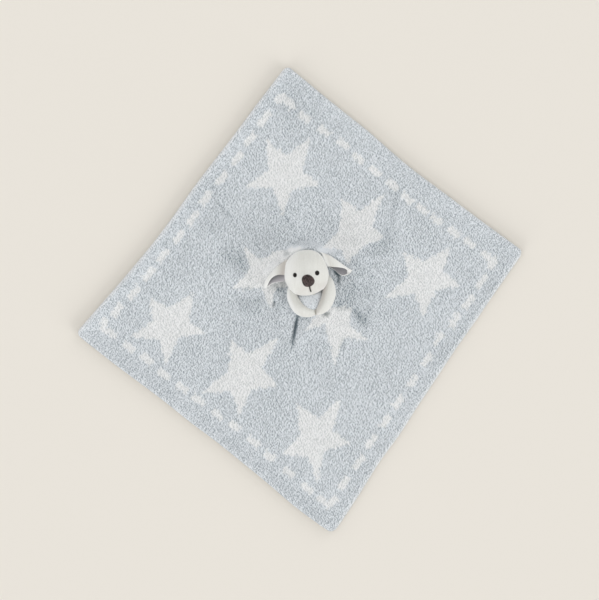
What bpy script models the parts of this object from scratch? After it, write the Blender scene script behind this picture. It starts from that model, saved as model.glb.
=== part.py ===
# Comfort blanket lovey: a square of chenille knit with a small stuffed puppy sewn to its middle.
#
# The blanket lies face up on z = 0, turned as a baby would drop it, and the puppy lies on its back.
# +X runs to the puppy's right ear as one looks at it, +Y from its chin to its crown, and +Z up.
# The origin is the middle of the blanket's bounding box, on the surface that it lies on.
# The puppy hinges on its neck stitches, its ears on their roots, and its joined arms on the shoulders.

import math

import bmesh
import bpy
from mathutils import Matrix, Vector

mm = 0.001

# Fits
seat_gap = 0.35 * mm            # between pieces that touch
cut_overrun = 4 * mm            # how far a cutter reaches past what it cuts

# Blanket
blanket_side = 400 * mm         # finished side of the knitted square
blanket_thickness = 5 * mm      # lofty chenille, pile included
blanket_cells = 24              # cells of the sheet each way
cell_evenness_share = 0.36      # size of the middle cells as a share of even ones
sheet_middle_shares = (0.515, 0.50)     # where the finest cells are
corner_shares = {               # corners as the square lies, as shares of its side
    "left": (-0.687, -0.101), "top": (-0.043, 0.716),
    "right": (0.687, 0.154), "bottom": (0.102, -0.716),
}
edge_bow_shares = {             # single and double wave of each edge, outward
    ("left", "top"): (-0.0047, -0.0040), ("top", "right"): (-0.0118, 0.0000),
    ("bottom", "right"): (0.0000, 0.0000), ("left", "bottom"): (0.0025, -0.0045),
}
fold_shares = (                 # start x, y, end x, y, height and half width of each fold
    (0.010, -0.067, -0.010, -0.170, 0.011, 0.026),
    (0.311, 0.390, 0.272, 0.185, 0.009, 0.032),
    (-0.120, 0.185, -0.285, 0.305, 0.007, 0.032),
    (-0.100, -0.006, -0.245, -0.045, 0.007, 0.034),
    (0.150, -0.004, 0.280, -0.110, 0.008, 0.032),
)

# Pouch: the middle of the blanket, drawn up under the chin to make the puppy's chest
pouch_half_width = 15 * mm
pouch_front_reach = 14 * mm
pouch_back_reach = 22 * mm
pouch_forward = 5 * mm          # from the neck to the pouch's peak, down the chest

# Head
head_width = 56 * mm
head_height = 58 * mm           # chin to crown
head_depth = 42 * mm            # back of the head to the face
head_tilt = math.radians(5.4)   # turn of the whole head about Z
head_flat = 1.2 * mm            # depth of the flat that its weight presses in its back
head_squareness = 2.25          # power of its outline, where 2 is an ellipse
head_cells = (26, 14)           # round the head, and from pole to pole
neck_x = 10.9 * mm
neck_y = 6.9 * mm
neck_angle = math.radians(30)   # below the head's widest line, where the neck is sewn
velour_wall = 1.2 * mm
seam_drop = 2.5 * mm            # face and back panels meet this far behind the widest line
panel_gap = 0.3 * mm
neck_opening_radius = 5.5 * mm
neck_opening_share = 0.58       # from the middle of the head towards the chin
muzzle_rise = 3.0 * mm
muzzle_radius = 16 * mm
muzzle_share = -0.30            # its height on the face, as a share of half the head's height

# Face, placed from the middle of the head as shares of its half width and half height
eye_radius = 2.4 * mm
eye_rise = 0.9 * mm
left_eye_shares = (-0.519, -0.060)
right_eye_shares = (0.461, -0.062)
nose_width = 15.8 * mm
nose_height = 15.4 * mm
nose_rise = 1.5 * mm
nose_taper_share = 0.14         # how much narrower it is below its middle
nose_turn = math.radians(-12)
nose_shares = (0.031, -0.345)
mouth_thread = 0.6 * mm         # radius of the stitch
mouth_shares = ((0.062, -0.625), (0.080, -0.70), (0.092, -0.79))

# Ears: each is a leaf folded along its length, so that its grey lining shows under the top flap
ear_length = 34.5 * mm          # middle of the root to the tip
ear_velour = 1.1 * mm
ear_lining = 0.7 * mm
ear_fold_radius = 2.7 * mm      # of the velour's middle, at the fold
ear_slant_share = 1.42          # room between the two fabrics, as the cross-sections slant to the fold
ear_roll_proud = 0.1 * mm       # how far the sewn roll at the root stands past both flaps
ear_rim = 2.0 * mm              # velour that shows past the lining
ear_least_flap = 1.4 * mm       # from the fold to either free edge, at the tip
ear_blunt_share = 0.95          # the leaf ends here, short of its point
ear_rings = 9                   # cross-sections of an ear from root to tip
lining_rings = (1, 7)           # first and last of them that the lining reaches
tip_thin_share = 0.10           # how much the fold tightens towards the tip
ear_drop_power = 1.1            # how late the ear comes down from its root to the blanket
ear_specs = {                   # root ends round the head in degrees, then plan shares of ear_length
    "left": {"root": (135.5, 181.0), "side": -1, "tip": (0.525, -0.968), "fold": (0.550, -0.377),
             "top_edge": (0.348, -0.409), "low_edge": (-0.029, -0.826)},
    "right": {"root": (47.0, 8.8), "side": 1, "tip": (0.574, -0.820), "fold": (0.362, -0.357),
              "top_edge": (0.125, -0.383), "low_edge": (-0.043, -1.003)},
}

# Arms: they come from under the jaw and meet on the chest, and their paws are sewn together
arm_ring = 25 * mm              # half width of the ring that the arms make
arm_thickness = 14 * mm
arm_steps = 3                   # rings of the tube between two of its points
paw_share = 0.60
paw_round = 1.2 * mm            # how far the paws' ends are rounded where they meet
paw_end_share = 0.62            # of the paw's own radius, at the seam
paw_seam_shares = (0.332, -0.896)
left_arm_shares = (             # x, y from the neck as shares of arm_ring, thickness as a share
    (-0.770, 0.210, 0.60), (-0.840, 0.000, 0.72), (-0.822, -0.240, 0.90), (-0.696, -0.516, 1.03),
    (-0.476, -0.748, 1.02), (-0.200, -0.876, 0.90), (0.080, -0.896, 0.74),
)
right_arm_shares = (
    (0.830, 0.450, 0.60), (0.930, 0.250, 0.76), (0.964, 0.000, 1.00), (0.948, -0.256, 1.16),
    (0.844, -0.536, 1.12), (0.656, -0.776, 0.88), (0.520, -0.880, 0.72),
)

# Sewing thread
stitch_coil = 1.3 * mm          # radius of the whip stitches along the neck
stitch_thread = 0.4 * mm
stitch_run = 16 * mm
stitch_turns = 5
stitch_points = 8               # to a turn
paw_thread = 0.45 * mm
paw_thread_share = 0.90         # radius of the thread round the paws' seam, of the paw's radius

# Places that follow from the sizes above
rest_level = blanket_thickness + seat_gap
head_half = Vector((head_width, head_height, head_depth)) / 2
head_z = rest_level + head_half.z - head_flat
neck_side = Vector((0, math.cos(neck_angle), math.sin(neck_angle)))
neck_on_head = Vector((0, -head_half.y * neck_side.y, -head_half.z * neck_side.z))
neck_normal = Vector((0, -neck_side.y / head_half.y, -neck_side.z / head_half.z)).normalized()
neck_in_head = neck_on_head + neck_normal * (stitch_coil + stitch_thread + seat_gap)
head_turn = Matrix.Rotation(head_tilt, 4, "Z")
neck_point = Vector((neck_x, neck_y, head_z + neck_in_head.z))
head_centre = neck_point - (head_turn @ neck_in_head)
head_frame = Matrix.Translation(head_centre) @ head_turn
pouch_top_at_neck = neck_point.z - stitch_coil - stitch_thread - seat_gap
pouch_height_at_neck = pouch_top_at_neck - blanket_thickness
paw_radius = arm_thickness * paw_share / 2
ear_root_radius = ear_fold_radius + ear_velour / 2 + ear_roll_proud


def bump(t):
    # 1 at t = 0, falling smoothly to 0 where t reaches 1 either way
    return (1 - t * t) ** 2 if abs(t) < 1 else 0.0


def curve_through(points, steps):
    # a smooth run of points through the given ones, ends included
    padded = [2 * points[0] - points[1]] + list(points) + [2 * points[-1] - points[-2]]
    run = []
    for a, b, c, d in zip(padded, padded[1:], padded[2:], padded[3:]):
        for step in range(steps):
            t = step / steps
            run.append(0.5 * (2 * b + (c - a) * t + (2 * a - 5 * b + 4 * c - d) * t * t
                              + (3 * b - a - 3 * c + d) * t ** 3))
    return run + [points[-1].copy()]


def bezier(a, b, c, t):
    return a * (1 - t) ** 2 + b * (2 * t * (1 - t)) + c * t * t


# Objects, materials and cuts

def clear_scene():
    for item in list(bpy.data.objects):
        bpy.data.objects.remove(item, do_unlink=True)


def collection(name):
    group = bpy.data.collections.get(name) or bpy.data.collections.new(name)
    if name not in bpy.context.scene.collection.children:
        bpy.context.scene.collection.children.link(group)
    return group


def material(name, colour, roughness):
    finish = bpy.data.materials.get(name) or bpy.data.materials.new(name)
    finish.use_nodes = True
    shader = finish.node_tree.nodes["Principled BSDF"]
    shader.inputs["Base Color"].default_value = (*colour, 1)
    shader.inputs["Roughness"].default_value = roughness
    shader.inputs["Metallic"].default_value = 0
    return finish


def materials():
    return {
        "chenille": material("blue chenille knit", (0.55, 0.61, 0.64), 0.95),
        "velour": material("cream velour", (0.80, 0.80, 0.76), 0.90),
        "lining": material("grey velour", (0.27, 0.26, 0.28), 0.90),
        "fibre": material("polyester fibre filling", (0.86, 0.86, 0.86), 1.00),
        "eye_thread": material("black embroidery thread", (0.012, 0.010, 0.010), 0.45),
        "nose_thread": material("brown embroidery thread", (0.065, 0.045, 0.043), 0.45),
        "thread": material("cream sewing thread", (0.70, 0.69, 0.64), 0.60),
    }


def add_piece(name, mesh, finish, pivot=None):
    # the mesh comes in world coordinates, and its object's origin goes to the joint's axis
    piece = bpy.data.objects.new(name, mesh)
    collection("comfort blanket lovey").objects.link(piece)
    mesh.materials.clear()
    mesh.materials.append(finish)
    mesh.shade_smooth()
    mesh.set_sharp_from_angle(angle=math.radians(50))
    if pivot:
        place = pivot.matrix_world.copy()
        mesh.transform(place.inverted())
        piece.parent = pivot
        piece.matrix_world = place
    return piece


def add_cutter(name, mesh):
    cutter = bpy.data.objects.new(name, mesh)
    collection("cutters").objects.link(cutter)
    cutter.hide_render = True
    cutter.display_type = "WIRE"
    return cutter


def add_pivot(name, place, axis, parent=None):
    # an empty on a joint, with its X along the hinge line
    pivot = bpy.data.objects.new(name, None)
    collection("comfort blanket lovey").objects.link(pivot)
    pivot.empty_display_size = stitch_run
    if parent:
        pivot.parent = parent
    pivot.matrix_world = Matrix.Translation(place) @ axis.to_track_quat("X", "Z").to_matrix().to_4x4()
    bpy.context.view_layer.update()
    return pivot


def boolean(piece, cutter, operation):
    cut = piece.modifiers.new(operation.lower(), "BOOLEAN")
    cut.operation = operation
    cut.solver = "EXACT"
    cut.object = cutter


def solidify(piece, thickness, offset):
    wall = piece.modifiers.new("wall", "SOLIDIFY")
    wall.thickness = thickness
    wall.offset = offset


def mesh_from(bm, name):
    mesh = bpy.data.meshes.new(name)
    bm.to_mesh(mesh)
    bm.free()
    return mesh


def tube_mesh(name, points, radii, resolution):
    # a capped tube of changing radius, as a mesh in world coordinates
    curve = bpy.data.curves.new(name, "CURVE")
    curve.dimensions = "3D"
    curve.bevel_mode = "ROUND"
    curve.bevel_depth = max(radii)
    curve.bevel_resolution = resolution
    curve.use_fill_caps = True
    spline = curve.splines.new("POLY")
    spline.points.add(len(points) - 1)
    for knot, place, radius in zip(spline.points, points, radii):
        knot.co = (*place, 1)
        knot.radius = radius / max(radii)
    guide = bpy.data.objects.new(name, curve)
    bpy.context.scene.collection.objects.link(guide)
    bpy.context.view_layer.update()
    evaluated = guide.evaluated_get(bpy.context.evaluated_depsgraph_get())
    mesh = bpy.data.meshes.new_from_object(evaluated)
    bpy.data.objects.remove(guide, do_unlink=True)
    bpy.data.curves.remove(curve)
    bm = bmesh.new()
    bm.from_mesh(mesh)
    bmesh.ops.remove_doubles(bm, verts=bm.verts, dist=seat_gap / 100)
    bmesh.ops.recalc_face_normals(bm, faces=bm.faces)
    bm.to_mesh(mesh)
    bm.free()
    return mesh


# Blanket

def outward(start, end):
    side = (end - start).normalized()
    normal = Vector((side.y, -side.x))
    return normal if normal.dot(start + end) > 0 else -normal


def edge_shift(start_name, end_name, t):
    single, double = edge_bow_shares[(start_name, end_name)]
    bow = blanket_side * (single * math.sin(math.pi * t) + double * math.sin(2 * math.pi * t))
    start = Vector(corner_shares[start_name])
    return outward(start, Vector(corner_shares[end_name])) * bow


def blanket_place(u, v):
    # u runs from the left corner to the bottom one, and v from the left corner to the top one
    left, top, right, bottom = (
        Vector(corner_shares[name]) * blanket_side for name in ("left", "top", "right", "bottom"))
    flat = (left * ((1 - u) * (1 - v)) + bottom * (u * (1 - v))
            + top * ((1 - u) * v) + right * (u * v))
    return (flat + edge_shift("left", "bottom", u) * (1 - v) + edge_shift("top", "right", u) * v
            + edge_shift("left", "top", v) * (1 - u) + edge_shift("bottom", "right", v) * u)


def pouch_rise(place):
    # the drawn-up middle, in the head's own directions
    away = place - neck_point.xy
    across = away.x * math.cos(head_tilt) + away.y * math.sin(head_tilt)
    along = -away.x * math.sin(head_tilt) + away.y * math.cos(head_tilt) + pouch_forward
    reach = pouch_back_reach if along > 0 else pouch_front_reach
    peak = pouch_height_at_neck / bump(pouch_forward / pouch_back_reach)
    return peak * bump(across / pouch_half_width) * bump(along / reach)


def fold_rise(place, shares):
    start = Vector(shares[0:2]) * blanket_side
    run = Vector(shares[2:4]) * blanket_side - start
    t = min(1, max(0, (place - start).dot(run) / run.length_squared))
    off = (place - start - run * t).length
    return shares[4] * blanket_side * bump(off / (shares[5] * blanket_side)) * bump(2 * t - 1)


def blanket_rise(place):
    return pouch_rise(place) + sum(fold_rise(place, shares) for shares in fold_shares)


def spread(q):
    # keeps the ends at -1 and 1, and draws the cells together in the middle
    return q * (cell_evenness_share + (1 - cell_evenness_share) * q * q)


def make_blanket(finish):
    bm = bmesh.new()
    bmesh.ops.create_grid(bm, x_segments=blanket_cells, y_segments=blanket_cells, size=1)
    for vert in bm.verts:
        ends = []
        for q, middle in zip((vert.co.x, vert.co.y), sheet_middle_shares):
            reach = 1 - middle if q > 0 else middle
            ends.append(middle + reach * spread(q))
        place = blanket_place(*ends)
        vert.co = (place.x, place.y, blanket_rise(place))
    bmesh.ops.recalc_face_normals(bm, faces=bm.faces)
    if sum(face.normal.z for face in bm.faces) < 0:
        bmesh.ops.reverse_faces(bm, faces=bm.faces)
    blanket = add_piece("blanket", mesh_from(bm, "blanket"), finish)
    solidify(blanket, blanket_thickness, 1)
    return blanket


# Head

def outline_stretch(x, y):
    # how far the head's outline lies outside an ellipse, in the direction of x, y
    reach = math.hypot(x, y)
    if reach == 0:
        return 1.0
    return (abs(x / reach) ** head_squareness + abs(y / reach) ** head_squareness) ** (
        -1 / head_squareness)


def muzzle(x, y):
    away = Vector((x, y - muzzle_share * head_half.y)).length
    return muzzle_rise * bump(away / muzzle_radius)


def head_form(name, inset):
    # the stuffed head's surface, moved in by inset, in world coordinates
    half = head_half - Vector((inset, inset, inset))
    floor = -head_half.z + head_flat + inset
    bm = bmesh.new()
    bmesh.ops.create_uvsphere(bm, u_segments=head_cells[0], v_segments=head_cells[1], radius=1)
    for vert in bm.verts:
        depth = max(vert.co.z, 0)
        stretch = outline_stretch(vert.co.x, vert.co.y)
        x, y, z = vert.co.x * half.x * stretch, vert.co.y * half.y * stretch, vert.co.z * half.z
        vert.co = head_frame @ Vector((x, y, max(z + depth * muzzle(x, y), floor)))
    bmesh.ops.recalc_face_normals(bm, faces=bm.faces)
    return mesh_from(bm, name)


def face_surface(x, y):
    # the point of the face over x, y, in the head's own frame
    across, up = x / head_half.x, y / head_half.y
    stretch = outline_stretch(across, up)
    depth = math.sqrt(1 - (across / stretch) ** 2 - (up / stretch) ** 2)
    return Vector((x, y, head_half.z * depth + depth * muzzle(x, y)))


def face_point(x_share, y_share, lift):
    # a point over the face and the frame that stands on the face there
    x, y = x_share * head_half.x, y_share * head_half.y
    step = seat_gap
    along = face_surface(x + step, y) - face_surface(x - step, y)
    up = face_surface(x, y + step) - face_surface(x, y - step)
    normal = along.cross(up).normalized()
    side = Vector((0, 1, 0)).cross(normal).normalized()
    turn = Matrix((side, normal.cross(side), normal)).transposed().to_4x4()
    return head_frame @ Matrix.Translation(face_surface(x, y) + normal * lift) @ turn


def face_fall(frame, half):
    # how far the face curves away under a pad's rim, on average
    falls = []
    for quarter in range(4):
        turn = math.pi * quarter / 2
        rim = Vector((half[0] * math.cos(turn), half[1] * math.sin(turn), 0))
        spot = head_frame.inverted() @ (frame @ rim)
        falls.append(-(frame.inverted() @ (head_frame @ face_surface(spot.x, spot.y))).z)
    return sum(falls) / len(falls)


def half_space(name, low, high):
    # a block wider than the head, between two heights
    bm = bmesh.new()
    bmesh.ops.create_cube(bm, size=1)
    size = (head_width + 2 * cut_overrun, head_height + 2 * cut_overrun, high - low)
    bmesh.ops.scale(bm, vec=size, verts=bm.verts)
    middle = Vector((head_centre.x, head_centre.y, (low + high) / 2))
    bmesh.ops.transform(bm, matrix=Matrix.Translation(middle) @ head_turn, verts=bm.verts)
    return add_cutter(name, mesh_from(bm, name))


def make_head(finishes, pivot):
    seam = head_centre.z - seam_drop
    under = head_centre.z - head_half.z - cut_overrun
    over = head_centre.z + head_half.z + muzzle_rise + cut_overrun
    hollow = add_cutter("head hollow", head_form("head hollow", velour_wall))
    face = add_piece("head_face", head_form("head_face", 0), finishes["velour"], pivot)
    boolean(face, half_space("face side", seam + panel_gap / 2, over), "INTERSECT")
    boolean(face, hollow, "DIFFERENCE")
    back = add_piece("head_back", head_form("head_back", 0), finishes["velour"], pivot)
    boolean(back, half_space("back side", under, seam - panel_gap / 2), "INTERSECT")
    boolean(back, hollow, "DIFFERENCE")
    boolean(back, neck_opening(under, seam), "DIFFERENCE")
    add_piece("head_stuffing", head_form("head_stuffing", velour_wall + seat_gap),
              finishes["fibre"], pivot)


def neck_opening(low, high):
    # the hole that the head was turned and filled through, over the pouch
    depth = high - low
    bm = bmesh.new()
    bmesh.ops.create_cone(bm, cap_ends=True, segments=head_cells[1], radius1=neck_opening_radius,
                          radius2=neck_opening_radius, depth=depth)
    place = head_frame @ Vector((0, -head_half.y * neck_opening_share, 0))
    place.z = low + depth / 2 - velour_wall
    bmesh.ops.translate(bm, vec=place, verts=bm.verts)
    return add_cutter("neck opening", mesh_from(bm, "neck opening"))


# Face

def make_pad(name, shares, half, rise, finish, pivot, skin, turn=0.0, taper=0.0):
    # satin stitch: a low dome whose widest line lies on the face, cut to the face under it
    bm = bmesh.new()
    bmesh.ops.create_uvsphere(bm, u_segments=20, v_segments=10, radius=1)
    frame = face_point(*shares, 0) @ Matrix.Rotation(turn, 4, "Z")
    fall = face_fall(frame, half) - seat_gap
    for vert in bm.verts:
        narrow = 1 + taper * vert.co.y
        vert.co = frame @ Vector((vert.co.x * half[0] * narrow, vert.co.y * half[1],
                                  vert.co.z * (rise + fall) - fall))
    bmesh.ops.recalc_face_normals(bm, faces=bm.faces)
    pad = add_piece(name, mesh_from(bm, name), finish, pivot)
    boolean(pad, skin, "DIFFERENCE")


def make_face(finishes, pivot):
    skin = add_cutter("face skin", head_form("face skin", -seat_gap))
    for name, shares in (("left_eye", left_eye_shares), ("right_eye", right_eye_shares)):
        make_pad(name, shares, (eye_radius, eye_radius), eye_rise, finishes["eye_thread"], pivot,
                 skin)
    make_pad("nose", nose_shares, (nose_width / 2, nose_height / 2), nose_rise,
             finishes["nose_thread"], pivot, skin, nose_turn, nose_taper_share)
    points = [face_point(*shares, seat_gap + mouth_thread).translation for shares in mouth_shares]
    run = curve_through(points, 3)
    mesh = tube_mesh("mouth_stitch", run, [mouth_thread] * len(run), 2)
    add_piece("mouth_stitch", mesh, finishes["eye_thread"], pivot)


# Ears

def head_outline(degrees):
    # a point of the head's outline, at the height of its seam
    x, y = math.cos(math.radians(degrees)), math.sin(math.radians(degrees))
    stretch = outline_stretch(x, y)
    return Vector((head_half.x * x * stretch, head_half.y * y * stretch, -seam_drop))


def ear_root(spec):
    # the hinge line, laid outside the head's curve, and the ear's directions in plan
    top, low = (head_outline(degrees) for degrees in spec["root"])
    along = (top - low).normalized()
    out = Vector((along.y, -along.x, 0)) * spec["side"]
    sagitta = (head_outline(sum(spec["root"]) / 2) - top).dot(out)
    middle = (top + low) / 2 + out * (sagitta + ear_root_radius + seat_gap)
    return (head_frame @ middle, head_turn.to_3x3() @ along, head_turn.to_3x3() @ out,
            (top - low).length / 2)


def ear_sheet(name, spec, inward, first, last, rim):
    # the middle surface of one of the ear's two fabrics from one ring to another: inward is how far
    # it lies inside the velour's, and rim how far its free edges are drawn in
    middle, along, out, half_root = ear_root(spec)
    tip_level = rest_level + ear_fold_radius + ear_velour / 2

    def plan(point):
        return middle + out * point[0] + along * point[1]

    root_top, root_low = Vector((0, half_root)), Vector((0, -half_root))
    tip, fold, top_edge, low_edge = (
        Vector(spec[key]) * ear_length for key in ("tip", "fold", "top_edge", "low_edge"))
    flap_cells, arc_cells = 4, 4
    bm = bmesh.new()
    rows = []
    for ring in range(first, last + 1):
        s = ear_blunt_share * ring / (ear_rings - 1)
        bend = ear_fold_radius * (1 - tip_thin_share * s * s)
        radius = bend - inward
        crease = bezier(root_top, fold, tip, s)
        free_top = bezier(root_low, top_edge, tip, s)
        free_low = bezier(root_low, low_edge, tip, s)
        side = (crease - (free_top + free_low) / 2).normalized()
        heart = crease - side * bend
        for free in (free_top, free_low):
            short = ear_least_flap - (heart - free).dot(side)
            free -= side * max(short, 0)
            free += (heart - free).normalized() * min(rim, (heart - free).length / 2)
        level = middle.z + (tip_level - middle.z) * s ** ear_drop_power - middle.z
        section = [(free_top.lerp(heart, i / flap_cells), radius) for i in range(flap_cells)]
        for i in range(arc_cells + 1):
            turn = math.pi / 2 - math.pi * i / arc_cells
            section.append((heart + side * (radius * math.cos(turn)), radius * math.sin(turn)))
        section += [(heart.lerp(free_low, i / flap_cells), -radius)
                    for i in range(1, flap_cells + 1)]
        rows.append([bm.verts.new(plan(spot) + Vector((0, 0, level + height)))
                     for spot, height in section])
    for row, next_row in zip(rows, rows[1:]):
        for i in range(len(row) - 1):
            bm.faces.new((row[i], row[i + 1], next_row[i + 1], next_row[i]))
    bmesh.ops.recalc_face_normals(bm, faces=bm.faces)
    top_flap = rows[0][0].link_faces[0]
    if top_flap.normal.z < 0:
        bmesh.ops.reverse_faces(bm, faces=bm.faces)
    return mesh_from(bm, name)


def make_ear(side, finishes, head_pivot):
    spec = ear_specs[side]
    middle, along, out, half_root = ear_root(spec)
    pivot = add_pivot(side + " ear pivot", middle, along, head_pivot)
    outer = add_piece(side + "_ear_outer",
                      ear_sheet(side + "_ear_outer", spec, 0, 0, ear_rings - 1, 0),
                      finishes["velour"], pivot)
    solidify(outer, ear_velour, 0)
    reach = half_root - ear_root_radius

    def roll(name, radius):
        points, radii = round_ended([middle - along * reach, middle + along * reach],
                                    [radius, radius])
        return add_cutter(name, tube_mesh(name, points, radii, 3))

    boolean(outer, roll(side + " ear roll", ear_root_radius), "UNION")
    inward = (ear_velour / 2 + seat_gap + ear_lining / 2) * ear_slant_share
    lining = add_piece(side + "_ear_lining",
                       ear_sheet(side + "_ear_lining", spec, inward, *lining_rings, ear_rim),
                       finishes["lining"], pivot)
    solidify(lining, ear_lining, 0)
    boolean(lining, roll(side + " ear roll room", ear_root_radius + seat_gap), "DIFFERENCE")


# Arms

def round_ended(points, radii, start=True, end=True):
    # adds a round cap to either end of a tube's run
    def cap(place, outward_run, radius):
        for turn in (math.radians(30), math.radians(60), math.radians(82)):
            yield place + outward_run * (radius * math.sin(turn)), radius * math.cos(turn)
    points, radii = list(points), list(radii)
    if end:
        for place, radius in list(cap(points[-1], (points[-1] - points[-2]).normalized(), radii[-1])):
            points.append(place)
            radii.append(radius)
    if start:
        for place, radius in list(cap(points[0], (points[0] - points[1]).normalized(), radii[0])):
            points.insert(0, place)
            radii.insert(0, radius)
    return points, radii


def arm_run(shares):
    # the arm's middle line and radii, lying on the blanket
    knots = []
    for x, y, thick in shares:
        radius = arm_thickness * thick / 2
        knots.append(Vector((neck_x + x * arm_ring, neck_y + y * arm_ring, rest_level + radius, radius)))
    run = curve_through(knots, arm_steps)
    return [knot.to_3d() for knot in run], [knot.w for knot in run]


def make_arm(side, shares, finishes, pivot):
    points, radii = arm_run(shares)
    seam = Vector((neck_x + paw_seam_shares[0] * arm_ring, neck_y + paw_seam_shares[1] * arm_ring,
                   rest_level + paw_radius))
    inward = Vector((1 if side == "left" else -1, 0, 0))

    def solid(name, inset, open_root):
        run, sizes = list(points), [radius - inset for radius in radii]
        if open_root:
            back = (run[0] - run[1]).normalized()
            run.insert(0, run[0] + back * (sizes[0] + cut_overrun))
            sizes.insert(0, sizes[0])
        else:
            run, sizes = round_ended(run, sizes, end=False)
        run.append(seam - inward * (panel_gap / 2 + paw_round + inset))
        sizes.append(paw_radius - inset)
        run.append(seam - inward * (panel_gap / 2 + inset))
        sizes.append(paw_radius * paw_end_share - inset / 2)
        return tube_mesh(name, run, sizes, 3)

    cover = add_piece(side + "_arm_cover", solid(side + "_arm_cover", 0, False),
                      finishes["velour"], pivot)
    boolean(cover, add_cutter(side + " arm hollow", solid(side + " arm hollow", velour_wall, True)),
            "DIFFERENCE")
    add_piece(side + "_arm_stuffing", solid(side + "_arm_stuffing", velour_wall + seat_gap, False),
              finishes["fibre"], pivot)


def make_arms(finishes):
    left, right = (arm_run(shares)[0][0] for shares in (left_arm_shares, right_arm_shares))
    pivot = add_pivot("arms pivot", (left + right) / 2, (right - left).normalized())
    make_arm("left", left_arm_shares, finishes, pivot)
    make_arm("right", right_arm_shares, finishes, pivot)
    seam = Vector((neck_x + paw_seam_shares[0] * arm_ring, neck_y + paw_seam_shares[1] * arm_ring,
                   rest_level + paw_radius))
    bpy.ops.mesh.primitive_torus_add(
        major_radius=paw_radius * paw_thread_share, minor_radius=paw_thread, major_segments=18,
        minor_segments=6, location=seam, rotation=(0, math.pi / 2, 0))
    ring = bpy.context.object
    bpy.context.view_layer.update()
    mesh = ring.data
    mesh.transform(ring.matrix_world)
    bpy.data.objects.remove(ring, do_unlink=True)
    add_piece("paw_stitch", mesh, finishes["thread"], pivot)


# Neck stitches: one thread whipped along the hinge line, between the blanket and the head

def make_neck_stitches(finish):
    along = (head_turn @ Vector((1, 0, 0))).normalized()
    up = Vector((0, 0, 1))
    forward = up.cross(along)
    points = []
    for i in range(stitch_turns * stitch_points + 1):
        share = i / (stitch_turns * stitch_points)
        turn = 2 * math.pi * stitch_turns * share
        points.append(neck_point + along * (stitch_run * (share - 0.5))
                      + (up * math.cos(turn) + forward * math.sin(turn)) * stitch_coil)
    mesh = tube_mesh("neck_stitches", points, [stitch_thread] * len(points), 1)
    add_piece("neck_stitches", mesh, finish)


def build():
    clear_scene()
    finishes = materials()
    make_blanket(finishes["chenille"])
    make_neck_stitches(finishes["thread"])
    head_pivot = add_pivot("head pivot", neck_point, head_turn @ Vector((1, 0, 0)))
    make_head(finishes, head_pivot)
    make_face(finishes, head_pivot)
    for side in ear_specs:
        make_ear(side, finishes, head_pivot)
    make_arms(finishes)
    bpy.context.view_layer.update()


build()
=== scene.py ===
# Comfort blanket lovey: the looks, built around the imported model. Lengths are in metres.
# A place that was read from the photo is given by its pixel and the height that it lies at.

import math

import bmesh
import bpy
import numpy as np
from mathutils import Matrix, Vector
from mathutils.bvhtree import BVHTree


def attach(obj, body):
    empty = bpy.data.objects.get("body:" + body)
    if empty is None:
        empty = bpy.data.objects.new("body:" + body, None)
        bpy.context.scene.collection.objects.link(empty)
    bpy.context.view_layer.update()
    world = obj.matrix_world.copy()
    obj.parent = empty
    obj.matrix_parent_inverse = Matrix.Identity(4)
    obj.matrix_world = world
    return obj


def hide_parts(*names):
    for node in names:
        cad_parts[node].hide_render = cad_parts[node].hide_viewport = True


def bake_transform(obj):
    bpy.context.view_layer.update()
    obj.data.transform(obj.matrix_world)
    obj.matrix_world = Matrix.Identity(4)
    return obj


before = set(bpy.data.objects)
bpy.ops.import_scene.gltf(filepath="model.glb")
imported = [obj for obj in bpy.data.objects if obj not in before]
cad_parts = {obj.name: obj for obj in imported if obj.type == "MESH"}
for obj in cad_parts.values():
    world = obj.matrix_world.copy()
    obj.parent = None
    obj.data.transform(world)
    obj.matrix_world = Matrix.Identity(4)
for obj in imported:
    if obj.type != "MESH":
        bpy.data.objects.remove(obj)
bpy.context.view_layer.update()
mm = 0.001


# Photo, camera and light

photo = {
    "pixel": 1.242 * mm,            # size of one pixel on the blanket
    "middle": (299.75, 299.5),      # pixel over the model's origin
    "centre": (299.5, 300.0),       # pixel that the camera looks straight down at
    "rows": 600,
    "lens": 85.0, "sensor": 36.0,   # in millimetres
    "level": 5 * mm,                # height at which a pixel has that size
}
cameraRise = photo["rows"] * photo["pixel"] * photo["lens"] / photo["sensor"]
cameraPlan = ((photo["centre"][0] - photo["middle"][0]) * photo["pixel"],
              (photo["middle"][1] - photo["centre"][1]) * photo["pixel"])


def spot(px, py, height=photo["level"]):
    # the place, at that height, that the camera sees at a pixel
    x = (px - photo["middle"][0]) * photo["pixel"]
    y = (photo["middle"][1] - py) * photo["pixel"]
    near = (cameraRise - (height - photo["level"])) / cameraRise
    return np.array([cameraPlan[0] + (x - cameraPlan[0]) * near,
                     cameraPlan[1] + (y - cameraPlan[1]) * near])


def addObject(name, data):
    thing = bpy.data.objects.new(name, data)
    bpy.context.scene.collection.objects.link(thing)
    return thing


def addCamera():
    lens = bpy.data.cameras.new("camera")
    lens.lens = photo["lens"]
    lens.sensor_width = photo["sensor"]
    eye = addObject("camera", lens)
    eye.location = (*cameraPlan, cameraRise + photo["level"])
    bpy.context.scene.camera = eye
    print("camera at", round(eye.location.z, 4), "m")


studio = {
    "world": 0.60,                  # share of the light that comes from all round
    "top": 0.26, "topFrom": (-0.35, -0.10, 1.0), "topSoft": math.radians(50),
    # low wide lights, one facing each side of the blanket: where it stands and its strength
    "low": (((0.79, -0.62), 1.30), ((-0.62, -0.79), 0.95), ((0.62, 0.79), 0.65),
            ((-0.79, 0.62), 0.40)),
    "lowRise": 0.36, "lowSoft": math.radians(38),
    "floorSize": 6.0, "floor": ("#E5E0D7", "#E6E1D8"), "rollerGrain": 3 * mm,
}


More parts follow.
